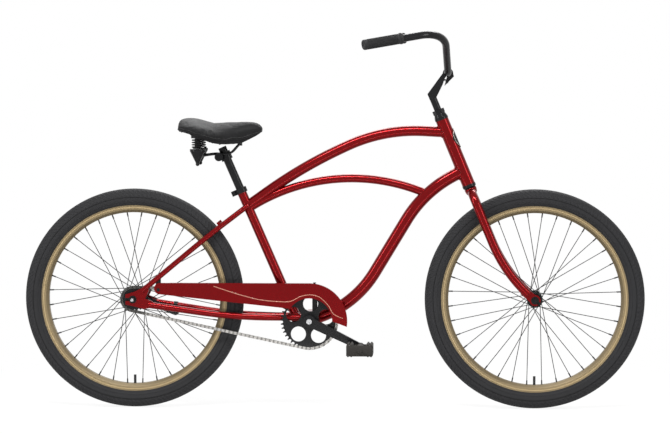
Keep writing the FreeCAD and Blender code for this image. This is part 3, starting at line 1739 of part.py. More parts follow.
node(
    "bottom_bracket_cups",
    group("bottom_bracket_cups", [bracket_cup("bracket_cup_" + name, side) for name, side in SIDES.items()]),
)
CRANK_OUT = s.crank_standoff + s.crank_thickness
spindle_bar = cross_cylinder("spindle_bar", s.spindle_diameter, -CRANK_OUT, CRANK_OUT, BRACKET.x, BRACKET.z)
spindle_race = cross_cylinder(
    "spindle_race",
    2 * (BRACKET_POCKET - 2 * s.bracket_gap),
    -SPINDLE_SHOULDER,
    SPINDLE_SHOULDER,
    BRACKET.x,
    BRACKET.z,
)
spindle_parts = [fuse("crank_spindle", spindle_bar, spindle_race)]
for side_name, side in SIDES.items():
    ring = BRACKET_PLACE.multiply(at(0, 0, side * (CUP_FLOOR + SPINDLE_SHOULDER) / 2))
    spindle_parts += ring_of_balls(
        "bracket_ball_" + side_name, s.bracket_ball_count, BRACKET_RING, s.bracket_ball_diameter, ring
    )
node("crank_spindle", group("crank_spindle", spindle_parts))

# Cranks and pedals: the right crank points forwards and down, the left one opposite

ARM_WAIST_SHARE = 0.8
PLATE_HEIGHT_SHARE = 0.72
CRANK_RIGHT = math.radians(float(s.crank_angle))
CRANK_TURNS = {"right": CRANK_RIGHT, "left": CRANK_RIGHT + math.pi}


def arm_end(side_name):
    turn = CRANK_TURNS[side_name]
    reach = float(s.crank_length)
    return BRACKET.add(Vector(reach * math.cos(turn), 0, reach * math.sin(turn)))


def side_cylinder(name, diameter, near, far, spot, side):
    """A round bar along Y beside the middle plane, from near to far."""
    low, high = (near, far) if side > 0 else (-far, -near)
    return cross_cylinder(name, diameter, low, high, spot.x, spot.z)


def crank_arm(side_name, side, boss_start):
    name = "crank_arm_" + side_name
    end = arm_end(side_name)
    boss = s.crank_boss_diameter / 2 * ARM_WAIST_SHARE
    eye = s.crank_eye_diameter / 2 * ARM_WAIST_SHARE
    nought = 0 * boss
    outline = [(nought, -boss), (s.crank_length, -eye), (s.crank_length, eye), (nought, boss)]
    face = CRANK_OUT if side > 0 else -s.crank_standoff
    turn = Rotation(Vector(0, -1, 0), math.degrees(CRANK_TURNS[side_name]))
    blade = plate(name + "_blade", [outline], s.crank_thickness, at(BRACKET.x, face, BRACKET.z, turn))
    hub = side_cylinder(name + "_boss", s.crank_boss_diameter, boss_start, CRANK_OUT, BRACKET, side)
    eye = side_cylinder(name + "_eye", s.crank_eye_diameter, s.crank_standoff, CRANK_OUT, end, side)
    hub_hole = side_cylinder(
        name + "_hub_hole",
        s.spindle_diameter + 2 * s.press_clearance,
        boss_start - s.overrun,
        CRANK_OUT + s.overrun,
        BRACKET,
        side,
    )
    eye_hole = side_cylinder(
        name + "_eye_hole",
        s.pedal_spindle_diameter + 2 * s.press_clearance,
        s.crank_standoff - s.overrun,
        CRANK_OUT + s.overrun,
        end,
        side,
    )
    return cut(name, fuse(name, blade, hub, eye), hub_hole, eye_hole)


def pedal(side_name, side):
    name = "pedal_" + side_name
    end = arm_end(side_name)
    near = CRANK_OUT + s.pedal_gap
    far = near + s.pedal_width
    barrel = side_cylinder(name + "_barrel", s.pedal_barrel_diameter, near, far, end, side)
    middle = side * (near + s.pedal_width / 2)
    low = end.z - s.pedal_thickness / 2
    bars = []
    for number, ahead in enumerate((-1, 1)):
        x = end.x + ahead * (s.pedal_length - s.pedal_bar) / 2
        place = at(x, middle, low)
        bars.append(
            box("%s_bar_%d" % (name, number), s.pedal_bar, s.pedal_width, s.pedal_thickness, place)
        )
    tall = PLATE_HEIGHT_SHARE * s.pedal_thickness
    for number, y in enumerate((near + s.pedal_plate / 2, far - s.pedal_plate / 2)):
        place = at(end.x, side * y, end.z - tall / 2)
        bars.append(box("%s_plate_%d" % (name, number), s.pedal_length, s.pedal_plate, tall, place))
    bore = side_cylinder(
        name + "_bore",
        s.pedal_spindle_diameter + 2 * s.pedal_clearance,
        near - s.overrun,
        far - s.pedal_plate / 2,
        end,
        side,
    )
    return cut(name, fuse(name, barrel, *bars), bore)


boss_starts = {
    "right": s.chain_line + s.ring_thickness / 2,
    "left": s.bracket_shell_width / 2 + 2 * s.bracket_flange,
}
crank_bolts = []
pedal_spindles = []
for side_name, side in SIDES.items():
    node("crank_arm_" + side_name, crank_arm(side_name, side, boss_starts[side_name]))
    node("pedal_" + side_name, pedal(side_name, side))
    crank_bolts.append(
        side_cylinder(
            "crank_bolt_" + side_name,
            s.crank_bolt_diameter,
            CRANK_OUT,
            CRANK_OUT + s.crank_bolt_height,
            BRACKET,
            side,
        )
    )
    bar = side_cylinder(
        "pedal_spindle_bar_" + side_name,
        s.pedal_spindle_diameter,
        s.crank_standoff,
        CRANK_OUT + s.pedal_gap + s.pedal_width - s.pedal_plate,
        arm_end(side_name),
        side,
    )
    collar = side_cylinder(
        "pedal_spindle_collar_" + side_name,
        s.pedal_spindle_diameter + 2 * s.pedal_plate,
        CRANK_OUT,
        CRANK_OUT + s.pedal_gap / 3,
        arm_end(side_name),
        side,
    )
    pedal_spindles.append(fuse("pedal_spindle_" + side_name, bar, collar))
node("crank_bolts", group("crank_bolts", crank_bolts))
node("pedal_spindles", group("pedal_spindles", pedal_spindles))

# Chain guard: a long sheet with an inward lip, screwed to two brackets on the frame

LIP_END_SHARE = 0.9
FRONT_BRACKET_SHARE = 0.14
GUARD_BACK = -s.guard_standoff
GUARD_FRONT = -s.guard_standoff - s.guard_sheet
GUARD_SCREW = BRACKET.add(Vector(-s.guard_screw_setback, 0, s.guard_screw_rise))
LIP_SCREW = BRACKET.add(Vector(FRONT_BRACKET_SHARE * s.guard_outer_radius, 0, 0))
LIP_SCREW.y = float(GUARD_BACK + s.guard_flange / 2)
SCREW_DRILL = s.guard_screw_diameter + 2 * s.press_clearance


def round_spot(radius, angle):
    turn = math.radians(float(angle))
    return radius * math.cos(turn), radius * math.sin(turn)


def chain_guard():
    outer = s.guard_outer_radius
    inner = s.guard_inner_radius
    lip = outer - s.guard_sheet
    nought = 0 * outer
    end_radius = s.guard_end_height / 2
    end_x = end_radius - s.guard_rear_reach
    outline = [
        (end_x, outer - s.guard_end_height),
        round_spot(inner, s.guard_mouth_angle) + (-inner,),
        (inner, nought),
        round_spot(outer, s.guard_tail_angle) + (outer,),
        (nought, outer),
        (end_x, outer, end_radius),
        (-s.guard_rear_reach, outer - end_radius, end_radius),
    ]
    body = plate("chain_guard", [outline], s.guard_sheet, at(BRACKET.x, GUARD_BACK, BRACKET.z))
    lip_end = -LIP_END_SHARE * s.guard_rear_reach
    edge = [
        round_spot(outer, s.guard_tail_angle) + (outer,),
        (nought, outer),
        (lip_end, outer),
        (lip_end, lip),
        (nought, lip, -lip),
        round_spot(lip, s.guard_tail_angle),
    ]
    sketch = new_sketch(body, "chain_guard_lip", "XZ_Plane", [edge])
    pad = body.newObject("PartDesign::Pad", "chain_guard_lip_pad")
    pad.Profile = sketch
    pad.Reversed = True
    bind(pad, Length=s.guard_flange)
    body.Tip = pad
    return cut("chain_guard", body, rear_screw_hole, lip_screw_hole)


def guard_brackets():
    sheet_metal = s.guard_bracket_sheet
    width = s.guard_bracket_width
    lip = s.guard_outer_radius - s.guard_sheet
    leg_y = -s.bracket_shell_width / 2 + sheet_metal / 2
    leg = box("guard_leg", width, sheet_metal, lip, at(LIP_SCREW.x, leg_y, BRACKET.z))
    reach = s.guard_standoff - s.bracket_shell_width / 2 + sheet_metal
    shelf = box(
        "guard_shelf", width, reach, s.guard_outer_radius, at(LIP_SCREW.x, GUARD_BACK + reach / 2, BRACKET.z)
    )
    under = cross_cylinder("guard_under", 2 * lip, GUARD_BACK, -GUARD_BACK, BRACKET.x, BRACKET.z)
    below = cross_cylinder(
        "guard_below", 2 * (lip - sheet_metal), 2 * GUARD_BACK, -GUARD_BACK, BRACKET.x, BRACKET.z
    )
    shelf = cut("guard_shelf", common("guard_shelf", shelf, under), below)
    leg = cut("guard_leg", common("guard_leg", leg, under), shell_outside)
    front = cut("guard_front", fuse("guard_front", leg, shelf), lip_screw_hole)
    tab = box(
        "guard_tab",
        width,
        sheet_metal,
        2 * s.guard_end_height,
        at(GUARD_SCREW.x, GUARD_BACK + sheet_metal / 2, GUARD_SCREW.z - s.guard_screw_head),
    )
    tab = cut("guard_tab", tab, rear_screw_hole, seat_stay_outsides["right"], above_stay)
    return [front, tab]


rear_screw_hole = cross_cylinder(
    "guard_rear_screw_hole",
    SCREW_DRILL,
    GUARD_FRONT - s.overrun,
    GUARD_BACK + s.guard_flange,
    GUARD_SCREW.x,
    GUARD_SCREW.z,
)
lip_screw_hole = cylinder(
    "guard_lip_screw_hole",
    SCREW_DRILL,
    s.guard_outer_radius,
    at(LIP_SCREW.x, LIP_SCREW.y, BRACKET.z + s.guard_inner_radius),
)
RIGHT_STAY = stay_points(
    SEAT_STAY_START, SEAT_STAY_SHARES, s.seat_stay_corner_half_gap, SEAT_STAY_END, SIDES["right"]
)
STAY_FALL = RIGHT_STAY[2].sub(RIGHT_STAY[1])
above_stay = box(
    "above_stay",
    2 * s.dropout_spacing,
    2 * s.dropout_spacing,
    s.dropout_spacing,
    Placement(RIGHT_STAY[2], facing(Vector(STAY_FALL.z, 0, -STAY_FALL.x))),
)
node("chain_guard", chain_guard())
node("chain_guard_brackets", group("chain_guard_brackets", guard_brackets()))

# Coaster brake arm, strapped to the left chain stay

STRAP_TAB_SHARE = 0.35
LEFT_STAY = stay_points(
    CHAIN_STAY_START, CHAIN_STAY_SHARES, s.chain_stay_corner_half_gap, CHAIN_STAY_END, SIDES["left"]
)
ARM_REACH = math.sqrt(float(s.brake_arm_length) ** 2 - float(s.brake_arm_drop) ** 2)
ARM_TIP = REAR_AXLE.add(Vector(ARM_REACH, 0, -s.brake_arm_drop))
STRAP_RUN = LEFT_STAY[2].sub(LEFT_STAY[1])
STRAP_SPOT = LEFT_STAY[1].add(
    Vector(STRAP_RUN).multiply((ARM_TIP.x - LEFT_STAY[1].x) / STRAP_RUN.x)
)
STRAP_HOLE = s.collar_bolt_diameter + 2 * s.press_clearance


def brake_arm():
    end = s.brake_arm_width / 2
    nought = 0 * end
    turn = Rotation(Vector(0, 1, 0), math.degrees(math.asin(float(s.brake_arm_drop / s.brake_arm_length))))
    place = at(REAR_AXLE.x, BRAKE_BACK, REAR_AXLE.z, turn)
    blade = plate(
        "brake_blade",
        [[(nought, -end), (s.brake_arm_length, -end), (s.brake_arm_length, end), (nought, end)]],
        s.brake_arm_thickness,
        place,
    )
    disc = cross_cylinder(
        "brake_disc", 2 * s.brake_arm_width, BRAKE_FACE, BRAKE_BACK, REAR_AXLE.x, REAR_AXLE.z
    )
    tip = cross_cylinder("brake_tip", s.brake_arm_width, BRAKE_FACE, BRAKE_BACK, ARM_TIP.x, ARM_TIP.z)
    axle_hole = cross_cylinder(
        "brake_axle_hole",
        s.rear_axle_diameter + 2 * s.axle_clearance,
        BRAKE_FACE - s.overrun,
        BRAKE_BACK + s.overrun,
        REAR_AXLE.x,
        REAR_AXLE.z,
    )
    arm = cut("brake_arm", fuse("brake_arm", blade, disc, tip), axle_hole, strap_hole)
    half = s.brake_strap_width / 2
    along = Placement(STRAP_SPOT, facing(STRAP_RUN)).multiply(at(0, 0, -half))
    band = cylinder(
        "strap_band", s.chain_stay_diameter + 2 * s.brake_strap_sheet, s.brake_strap_width, along
    )
    tall = STRAP_SPOT.z - ARM_TIP.z + float(half)
    tab = box(
        "strap_tab",
        s.brake_strap_width,
        s.brake_strap_sheet,
        tall,
        at(ARM_TIP.x, BRAKE_BACK + s.brake_strap_sheet / 2, ARM_TIP.z - half),
    )
    strap = cut("brake_strap", fuse("brake_strap", band, tab), chain_outsides["left"], strap_hole)
    return group("brake_arm", [arm, strap])


strap_hole = cross_cylinder(
    "strap_hole", STRAP_HOLE, BRAKE_FACE - s.overrun, 2 * BRAKE_BACK, ARM_TIP.x, ARM_TIP.z
)
node("brake_arm", brake_arm())

# Seat clamp and post

COLLAR_PLACE = up_seat(s.seat_tube_length - s.collar_height)
EAR_WIDTH = 2 * s.collar_wall + s.collar_slot
EAR_REACH = s.seat_tube_diameter / 2 + s.collar_ear
EAR_BOLT = COLLAR_PLACE.multVec(
    Vector(s.collar_bolt_diameter - EAR_REACH, 0, s.collar_height / 2)
)


def seat_clamp():
    ring = cylinder(
        "collar_ring", s.seat_tube_diameter + 2 * s.collar_wall, s.collar_height, COLLAR_PLACE
    )
    ears = box(
        "collar_ears", EAR_REACH, EAR_WIDTH, s.collar_height, COLLAR_PLACE.multiply(at(-EAR_REACH / 2, 0, 0))
    )
    hole = cylinder(
        "collar_hole",
        s.seat_tube_diameter + 2 * s.press_clearance,
        s.collar_height + 2 * s.overrun,
        COLLAR_PLACE.multiply(at(0, 0, -s.overrun)),
    )
    slot = box(
        "collar_slot",
        2 * EAR_REACH,
        s.collar_slot,
        s.collar_height + 2 * s.overrun,
        COLLAR_PLACE.multiply(at(-EAR_REACH, 0, -s.overrun)),
    )
    drill = cross_cylinder(
        "collar_drill",
        s.collar_bolt_diameter + 2 * s.press_clearance,
        -EAR_WIDTH,
        EAR_WIDTH,
        EAR_BOLT.x,
        EAR_BOLT.z,
    )
    return cut("seat_clamp", fuse("seat_clamp", ring, ears), hole, slot, drill)


node("seat_clamp", seat_clamp())


def headed_screw(name, shank, head, near, far, spot):
    """A screw along Y with its head beyond far, away from near."""
    height = shank / 2
    low, high = (near, far) if float(near) < float(far) else (far, near)
    bar = cross_cylinder(name + "_shank", shank, low, high, spot.x, spot.z)
    start, end = (far, far + height) if float(near) < float(far) else (far - height, far)
    cap = cross_cylinder(name + "_head", head, start, end, spot.x, spot.z)
    return fuse(name, bar, cap)


lip_top = BRACKET.z + s.guard_outer_radius
lip_shank = cylinder(
    "lip_screw_shank",
    s.guard_screw_diameter,
    2 * s.guard_bracket_sheet + s.guard_sheet,
    at(LIP_SCREW.x, LIP_SCREW.y, lip_top - 2 * s.guard_bracket_sheet - s.guard_sheet),
)
lip_head = cylinder(
    "lip_screw_head", s.guard_flange, s.guard_screw_diameter / 2, at(LIP_SCREW.x, LIP_SCREW.y, lip_top)
)
node(
    "frame_screws",
    group(
        "frame_screws",
        [
            headed_screw(
                "seat_bolt",
                s.collar_bolt_diameter,
                2 * s.collar_bolt_diameter,
                EAR_WIDTH / 2 + s.collar_bolt_diameter,
                -EAR_WIDTH / 2,
                EAR_BOLT,
            ),
            headed_screw(
                "guard_screw",
                s.guard_screw_diameter,
                s.guard_screw_head,
                GUARD_BACK + 2 * s.guard_bracket_sheet,
                GUARD_FRONT,
                GUARD_SCREW,
            ),
            headed_screw(
                "strap_bolt",
                s.collar_bolt_diameter,
                2 * s.collar_bolt_diameter,
                BRAKE_FACE - s.collar_bolt_diameter,
                BRAKE_BACK + s.brake_strap_sheet,
                ARM_TIP,
            ),
            fuse("lip_screw", lip_shank, lip_head),
        ],
    ),
)

post_low = s.post_top_height - s.post_length
post_outside = cylinder("post_outside", s.post_diameter, s.post_length, up_seat(post_low))
post_bore = cylinder(
    "post_bore",
    s.post_diameter - 2 * s.post_wall,
    s.post_length - s.post_wall,
    up_seat(post_low),
)
node("seat_post", cut("seat_post", post_outside, post_bore))

# Saddle: rails, spring cups, springs, pan and cushion. Its places are taken from the top of the post

RAIL_BEND_SHARE = 0.32
CUP_WAIST_SHARE = 0.62
CUP_LIP_SHARE = 0.14


def by_post(x, y, z):
    return POST_TOP.add(Vector(x, y, z))


def rail_points(side):
    points = [
        by_post(-s.spring_setback, s.spring_half_gap, -s.cup_drop - s.cup_cone_height / 2),
        by_post(s.rail_half_gap * -1, s.rail_half_gap, -s.rail_drop),
        by_post(s.rail_knee_reach, s.rail_half_gap, -s.rail_drop),
        by_post(s.rail_front_reach, s.rail_half_gap, s.rail_front_rise),
    ]
    return [mirrored(point, side) for point in points]


right_rail = rail_points(SIDES["right"])
left_rail = rail_points(SIDES["left"])
rail_route = spine(
    "saddle_rails", path_edges(right_rail + left_rail[::-1], [RAIL_BEND_SHARE] * 6)
)
rail_bar = swept("saddle_rails", rail_route, s.rail_diameter)

CUP_TOP = POST_TOP.z - float(s.cup_drop)
SPRING_X = POST_TOP.x - float(s.spring_setback)
COIL_RADIUS = (s.spring_coil_diameter - s.spring_wire) / 2
SPRING_LIFT = s.spring_wire / 2 + s.saddle_seam_gap
spring_cups = []
for side_name, side in SIDES.items():
    nought = 0 * s.cup_drop
    rim = s.cup_cone_diameter / 2
    loop = [
        (nought, -s.cup_cone_height),
        (CUP_WAIST_SHARE * s.cup_tip_diameter / 2, -s.cup_cone_height),
        (rim, -CUP_LIP_SHARE * s.cup_cone_height),
        (rim, nought),
        (nought, nought),
    ]
    axis = at(SPRING_X, side * s.spring_half_gap, CUP_TOP)
    cone = turned("spring_cup_" + side_name, [loop], axis)
    tip = ball(
        "spring_cup_tip_" + side_name,
        s.cup_tip_diameter,
        SPRING_X,
        side * s.spring_half_gap,
        CUP_TOP - s.cup_cone_height,
    )
    lug = box(
        "spring_cup_lug_" + side_name,
        2 * s.spring_wire,
        s.spring_wire,
        2 * SPRING_LIFT,
        axis.multiply(at(COIL_RADIUS, -1.5 * s.spring_wire - s.spring_end_gap, 0)),
    )
    spring_cups.append(fuse("spring_cup_" + side_name, cone, tip, lug))
node("spring_cups", group("spring_cups", spring_cups))
node("saddle_rails", cut("saddle_rails", rail_bar, *spring_cups))


def coil_edges(rise, turns):
    """A coil of quarter turns, each made of two arcs, with a straight end one wire long at each end."""
    radius = float(COIL_RADIUS)
    count = round(4 * turns)
    wire = float(s.spring_wire)
    places = []
    for number in range(count + 1):
        turn = math.pi / 2 * number
        spot = Vector(radius * math.cos(turn), radius * math.sin(turn), rise * number / count)
        slope = rise / count / (math.pi / 2)
        lead = Vector(-radius * math.sin(turn), radius * math.cos(turn), slope).normalize()
        places.append((spot, lead))
    first, first_lead = places[0]
    last, last_lead = places[-1]
    edges = [Part.LineSegment(first.sub(Vector(first_lead).multiply(wire)), first).toShape()]
    for (start, out), (end, back) in zip(places, places[1:]):
        chord = end.sub(start)
        lead = out.add(back)
        bend = 2 * (1 - out.dot(back))
        dot = chord.dot(lead)
        reach = (math.sqrt(dot * dot + bend * chord.dot(chord)) - dot) / bend
        first_corner = start.add(Vector(out).multiply(reach))
        last_corner = end.sub(Vector(back).multiply(reach))
        joint = first_corner.add(last_corner).multiply(1 / 2)
        edges.append(bend_edge(start, first_corner, joint))
        edges.append(bend_edge(joint, last_corner, end))
    edges.append(Part.LineSegment(last, last.add(Vector(last_lead).multiply(wire))).toShape())
    return edges


def coil_gap(edges, turn_edges):
    """The least space between the wires of a coil, from points along it."""
    spots = [edge.valueAt((edge.FirstParameter + edge.LastParameter) / 2) for edge in edges]
    apart = [
        a.distanceToPoint(b)
        for number, a in enumerate(spots)
        for b in spots[number + turn_edges // 2:]
    ]
    return min(apart) - float(s.spring_wire)


springs = []
coil_rise = float(s.spring_height - 2 * SPRING_LIFT)
for side_name, side in SIDES.items():
    edges = coil_edges(coil_rise, float(s.spring_turns))
    route = spine("saddle_spring_" + side_name, edges)
    coil = swept("saddle_spring_" + side_name, route, s.spring_wire)
    coil.Placement = at(SPRING_X, side * s.spring_half_gap, CUP_TOP + SPRING_LIFT)
    springs.append(coil)
print("least gap between spring coils: %.2f mm" % coil_gap(edges, 8))
node("saddle_springs", group("saddle_springs", springs))

# Cushion sections from the rear: shares of length, half width, top and bottom height

PAD_SHARES = (
    (0.0, 0.6, 0.86, 0.565),
    (0.04, 0.76, 0.96, 0.53),
    (0.12, 0.92, 1.0, 0.445),
    (0.25, 1.0, 0.935, 0.29),
    (0.4, 0.88, 0.768, 0.084),
    (0.55, 0.61, 0.774, 0.0),
    (0.7, 0.38, 0.819, 0.045),
    (0.85, 0.29, 0.858, 0.252),
    (0.96, 0.22, 0.781, 0.445),
    (1.0, 0.12, 0.652, 0.574),
)
PAD_SIDE_SHARE = 0.45
PAD_DRAWN_SHARE = 0.86
PAN_WIDTH_SHARE = 0.74


def pad_sizes(along, width, top, bottom):
    x = POST_TOP.x - float(s.saddle_rear_reach) + along * float(s.saddle_length)
    low = POST_TOP.z + float(s.saddle_clearance)
    half = width * float(s.saddle_width) / 2
    return x, half, low + top * float(s.saddle_depth), low + bottom * float(s.saddle_depth)


def pad_wire(x, half, top, bottom):
    side = bottom + PAD_SIDE_SHARE * (top - bottom)
    left, crown, right = Vector(x, half, side), Vector(x, 0, top), Vector(x, -half, side)
    hem_left = Vector(x, PAD_DRAWN_SHARE * half, bottom)
    hem_right = Vector(x, -PAD_DRAWN_SHARE * half, bottom)
    return Part.Wire(
        [
            Part.Arc(left, crown, right).toShape(),
            Part.LineSegment(right, hem_right).toShape(),
            Part.LineSegment(hem_right, hem_left).toShape(),
            Part.LineSegment(hem_left, left).toShape(),
        ]
    )


def pan_wire(x, half, top, bottom):
    wide = PAN_WIDTH_SHARE * half
    low = bottom - float(s.pan_thickness)
    high = bottom + (top - bottom) / 8
    corners = [Vector(x, wide, high), Vector(x, -wide, high), Vector(x, -wide, low), Vector(x, wide, low)]
    return Part.Wire(Part.makePolygon(corners + corners[:1]).Edges)


def lofted(name, wires):
    sections = []
    for number, wire in enumerate(wires):
        section = doc.addObject("Part::Feature", "%s_section_%d" % (name, number))
        section.Shape = wire
        sections.append(section)
    item = doc.addObject("Part::Loft", name + "_loft")
    item.Sections = sections
    item.Solid = True
    item.Ruled = False
    return item


saddle_pad = lofted("saddle_pad", [pad_wire(*pad_sizes(*shares)) for shares in PAD_SHARES])
pan = lofted("saddle_pan", [pan_wire(*pad_sizes(*shares)) for shares in PAD_SHARES[1:-1]])
node("saddle_pad", saddle_pad)
CROSS_BAR = by_post(s.rail_front_reach, 0, s.rail_front_rise)
hinge_bore = cross_cylinder(
    "nose_bore",
    s.rail_diameter + 2 * s.press_clearance,
    -s.nose_bracket_width,
    s.nose_bracket_width,
    CROSS_BAR.x,
    CROSS_BAR.z,
)
SEAT_LOW = CUP_TOP + float(s.spring_height)
spring_rooms = [
    cylinder(
        "spring_room_" + side_name,
        s.spring_coil_diameter + 2 * s.spring_wire,
        s.spring_height,
        at(SPRING_X, side * s.spring_half_gap, CUP_TOP),
    )
    for side_name, side in SIDES.items()
]
base_parts = [
    cut("saddle_pan", pan, *spring_rooms),
    box(
        "nose_bracket",
        2 * s.rail_diameter,
        s.nose_bracket_width,
        s.saddle_depth / 2,
        at(CROSS_BAR.x, 0, CROSS_BAR.z - s.rail_diameter),
    ),
]
for side_name, side in SIDES.items():
    axis = at(SPRING_X, side * s.spring_half_gap, SEAT_LOW)
    base_parts.append(
        cylinder("spring_seat_" + side_name, s.spring_coil_diameter + s.spring_wire, s.saddle_depth / 4, axis)
    )
    base_parts.append(
        box(
            "spring_seat_lug_" + side_name,
            2 * s.spring_wire,
            s.spring_wire,
            2 * SPRING_LIFT,
            axis.multiply(at(COIL_RADIUS, 1.5 * s.spring_wire + s.spring_end_gap, -2 * SPRING_LIFT)),
        )
    )
node("saddle_base", cut("saddle_base", fuse("saddle_base", *base_parts), hinge_bore, saddle_pad))


def saddle_clamp():
    barrel_spot = by_post(-s.clamp_setback, 0, -s.clamp_drop)
    half = s.clamp_barrel_width / 2
    barrel = cross_cylinder(
        "clamp_barrel", s.clamp_barrel_diameter, -half, half, barrel_spot.x, barrel_spot.z
    )
    collar = cylinder(
        "clamp_collar",
        s.post_diameter + 2 * s.clamp_wall,
        s.clamp_height,
        up_seat(s.post_top_height - s.clamp_drop - s.clamp_height / 2),
    )
    return cut("saddle_clamp", fuse("saddle_clamp", barrel, collar), post_outside, rail_bar)


node("saddle_clamp", saddle_clamp())


doc.recompute()
bad = [item.Name for item in doc.Objects if "Invalid" in item.State or "Error" in item.State]
if bad:
    raise RuntimeError("not built: " + ", ".join(bad))
for item in NODES:
    if item.Shape.isNull() or not item.Shape.isValid() or not item.Shape.Solids:
        raise RuntimeError("no sound shape: " + item.Label)
os.makedirs("parts", exist_ok=True)
for item in NODES:
    item.Shape.exportStep("parts/%s.step" % item.Label)
print("wrote", len(NODES), "nodes")
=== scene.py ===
import json
import math

import bmesh
import bpy
import numpy as np
from mathutils import Matrix, Vector
from mathutils.bvhtree import BVHTree


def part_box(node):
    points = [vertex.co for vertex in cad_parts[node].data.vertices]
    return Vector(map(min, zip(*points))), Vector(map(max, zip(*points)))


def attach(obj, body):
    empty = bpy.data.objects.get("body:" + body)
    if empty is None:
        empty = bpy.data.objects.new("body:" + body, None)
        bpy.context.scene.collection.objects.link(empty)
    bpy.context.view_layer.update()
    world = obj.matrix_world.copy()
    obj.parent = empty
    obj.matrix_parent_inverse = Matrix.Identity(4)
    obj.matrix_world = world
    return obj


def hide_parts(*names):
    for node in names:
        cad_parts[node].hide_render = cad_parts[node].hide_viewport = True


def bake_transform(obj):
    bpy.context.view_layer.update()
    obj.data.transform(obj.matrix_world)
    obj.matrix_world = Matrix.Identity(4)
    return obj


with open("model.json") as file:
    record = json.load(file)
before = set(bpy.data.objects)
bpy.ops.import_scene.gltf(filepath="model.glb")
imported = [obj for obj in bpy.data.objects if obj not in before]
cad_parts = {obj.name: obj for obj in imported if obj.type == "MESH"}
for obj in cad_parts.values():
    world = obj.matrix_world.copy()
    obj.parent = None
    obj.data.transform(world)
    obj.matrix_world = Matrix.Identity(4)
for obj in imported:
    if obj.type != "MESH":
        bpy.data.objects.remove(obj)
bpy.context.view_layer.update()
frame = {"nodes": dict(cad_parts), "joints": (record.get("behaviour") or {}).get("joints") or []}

bl_info = {
    "name": "Beach cruiser looks",
    "version": (1, 0, 0),
    "blender": (4, 5, 0),
    "location": "View3D > Sidebar > Cruiser",
    "description": "Paint, rubber, saddle cover and small trim for the beach cruiser",
    "category": "Object",
}

NODES = frame["nodes"]
JOINTS = {joint["name"]: joint for joint in frame["joints"]}


def joint_place(name):
    """Where a joint of the frame sits."""
    return Vector(JOINTS[name]["pos_m"])


FRONT_HUB = joint_place("front_wheel_spin")
REAR_HUB = joint_place("rear_wheel_spin")
BRACKET = joint_place("crank_spin")
WHEELS = (("front", FRONT_HUB), ("rear", REAR_HUB))


# Fixed sizes: lengths in metres, other numbers as their names or comments say

MILLIMETRES = 1000.0
SAME_PLACE = 1e-6

# Wheels, as distances from the axle: moulded ridges and lines, then where a change of tone starts and ends
RIM_RIDGES = (0.2772, 0.2818)
RIDGE_WIRE = 0.0009
# radius of the painted highlight line on the rim
RIM_HIGHLIGHT_LINE = 0.2795
TYRE_BEAD = 0.2935
# radius of a groove line that holds painted shade
TYRE_SHADE_LINE = 0.3105
# painted shade towards the rim's inner edge: where it starts and where it is full
RIM_SHADE_EDGE = (0.275, 0.269)
TYRE_CROWN = (0.3135, 0.3165)
# where the tread grooves start and are full; they also hold painted shade
TYRE_GROOVES = (0.3325, 0.334)
# painted shade on the chain near the rear hub: where it starts and where it is full
HUB_SHADE_REACH = (0.075, 0.045)

# Tread, as angles round the tyre's section from its crown
MOULDED_LINE_DEGREES = (84, 112)
TREAD_FROM_DEGREES = 26
TREAD_SPAN_DEGREES = 52
LANE_MILLIMETRES = 5.0

# Grips: radius and height of each profile, the cap and bore from the outer end, the collar from the inner end
GRIP_SLEEVE = 0.0147
GRIP_RIB_HALF = 0.0007
GRIP_RIB_START = 0.0125
GRIP_RIB_STOP = 0.0185
GRIP_CAP = (
    (0.0, 0.0008), (0.004, 0.0008), (0.0046, 0.0), (0.0122, 0.0), (0.0143, 0.0007), (0.0154, 0.0026),
    (0.0155, 0.0095), (GRIP_SLEEVE, 0.0108),
)
GRIP_COLLAR = (
    (GRIP_SLEEVE, -0.0175), (0.0155, -0.0165), (0.0156, -0.01), (0.0148, -0.009), (0.0148, -0.0075),
    (0.0166, -0.0065), (0.017, -0.004), (0.0168, -0.001), (0.016, 0.0), (0.0113, 0.0),
)
GRIP_BORE = ((0.0113, 0.0038), (0.0, 0.0038))

# Pedals: a level of the end plate is its scale and how far it stands out
LUG_HALF = 0.0036
LUG_HEIGHT = 0.0042
LUG_INSET = 0.004
PLATE_CORNER = 0.006
PLATE_INSET = 0.001
PLATE_LIP = 0.0015
PLATE_LEVELS = ((0.97, 0.001), (1.0, 0.0), (1.0, -0.0035))
DUST_CAP = (
    (0.0, 0.0028), (0.006, 0.0026), (0.0088, 0.0018), (0.0095, 0.0), (0.0095, -0.001), (0.0, -0.001),
)

# Saddle: how far up a face of the cover looks, then lengths, the stitches' share of the height and stretch
SIDE_NORMAL = -0.3
HEM_NORMAL = -0.5
UNDERSIDE_NORMAL = -0.85
PAD_JOIN = 1e-5
COVER_GRAIN = 0.005
COVER_SLICE = 0.012
TUCK_REACH = 0.045
SEAM_FROM = 0.4
SEAM_SLICE = 0.006
SEAM_LIFT = 0.0003
PIPING = 0.0016
STITCH_RISE = 0.09
STITCH_STEP = 0.0042
STITCH_RADIUS = 0.00055
STITCH_STRETCH = 2.6

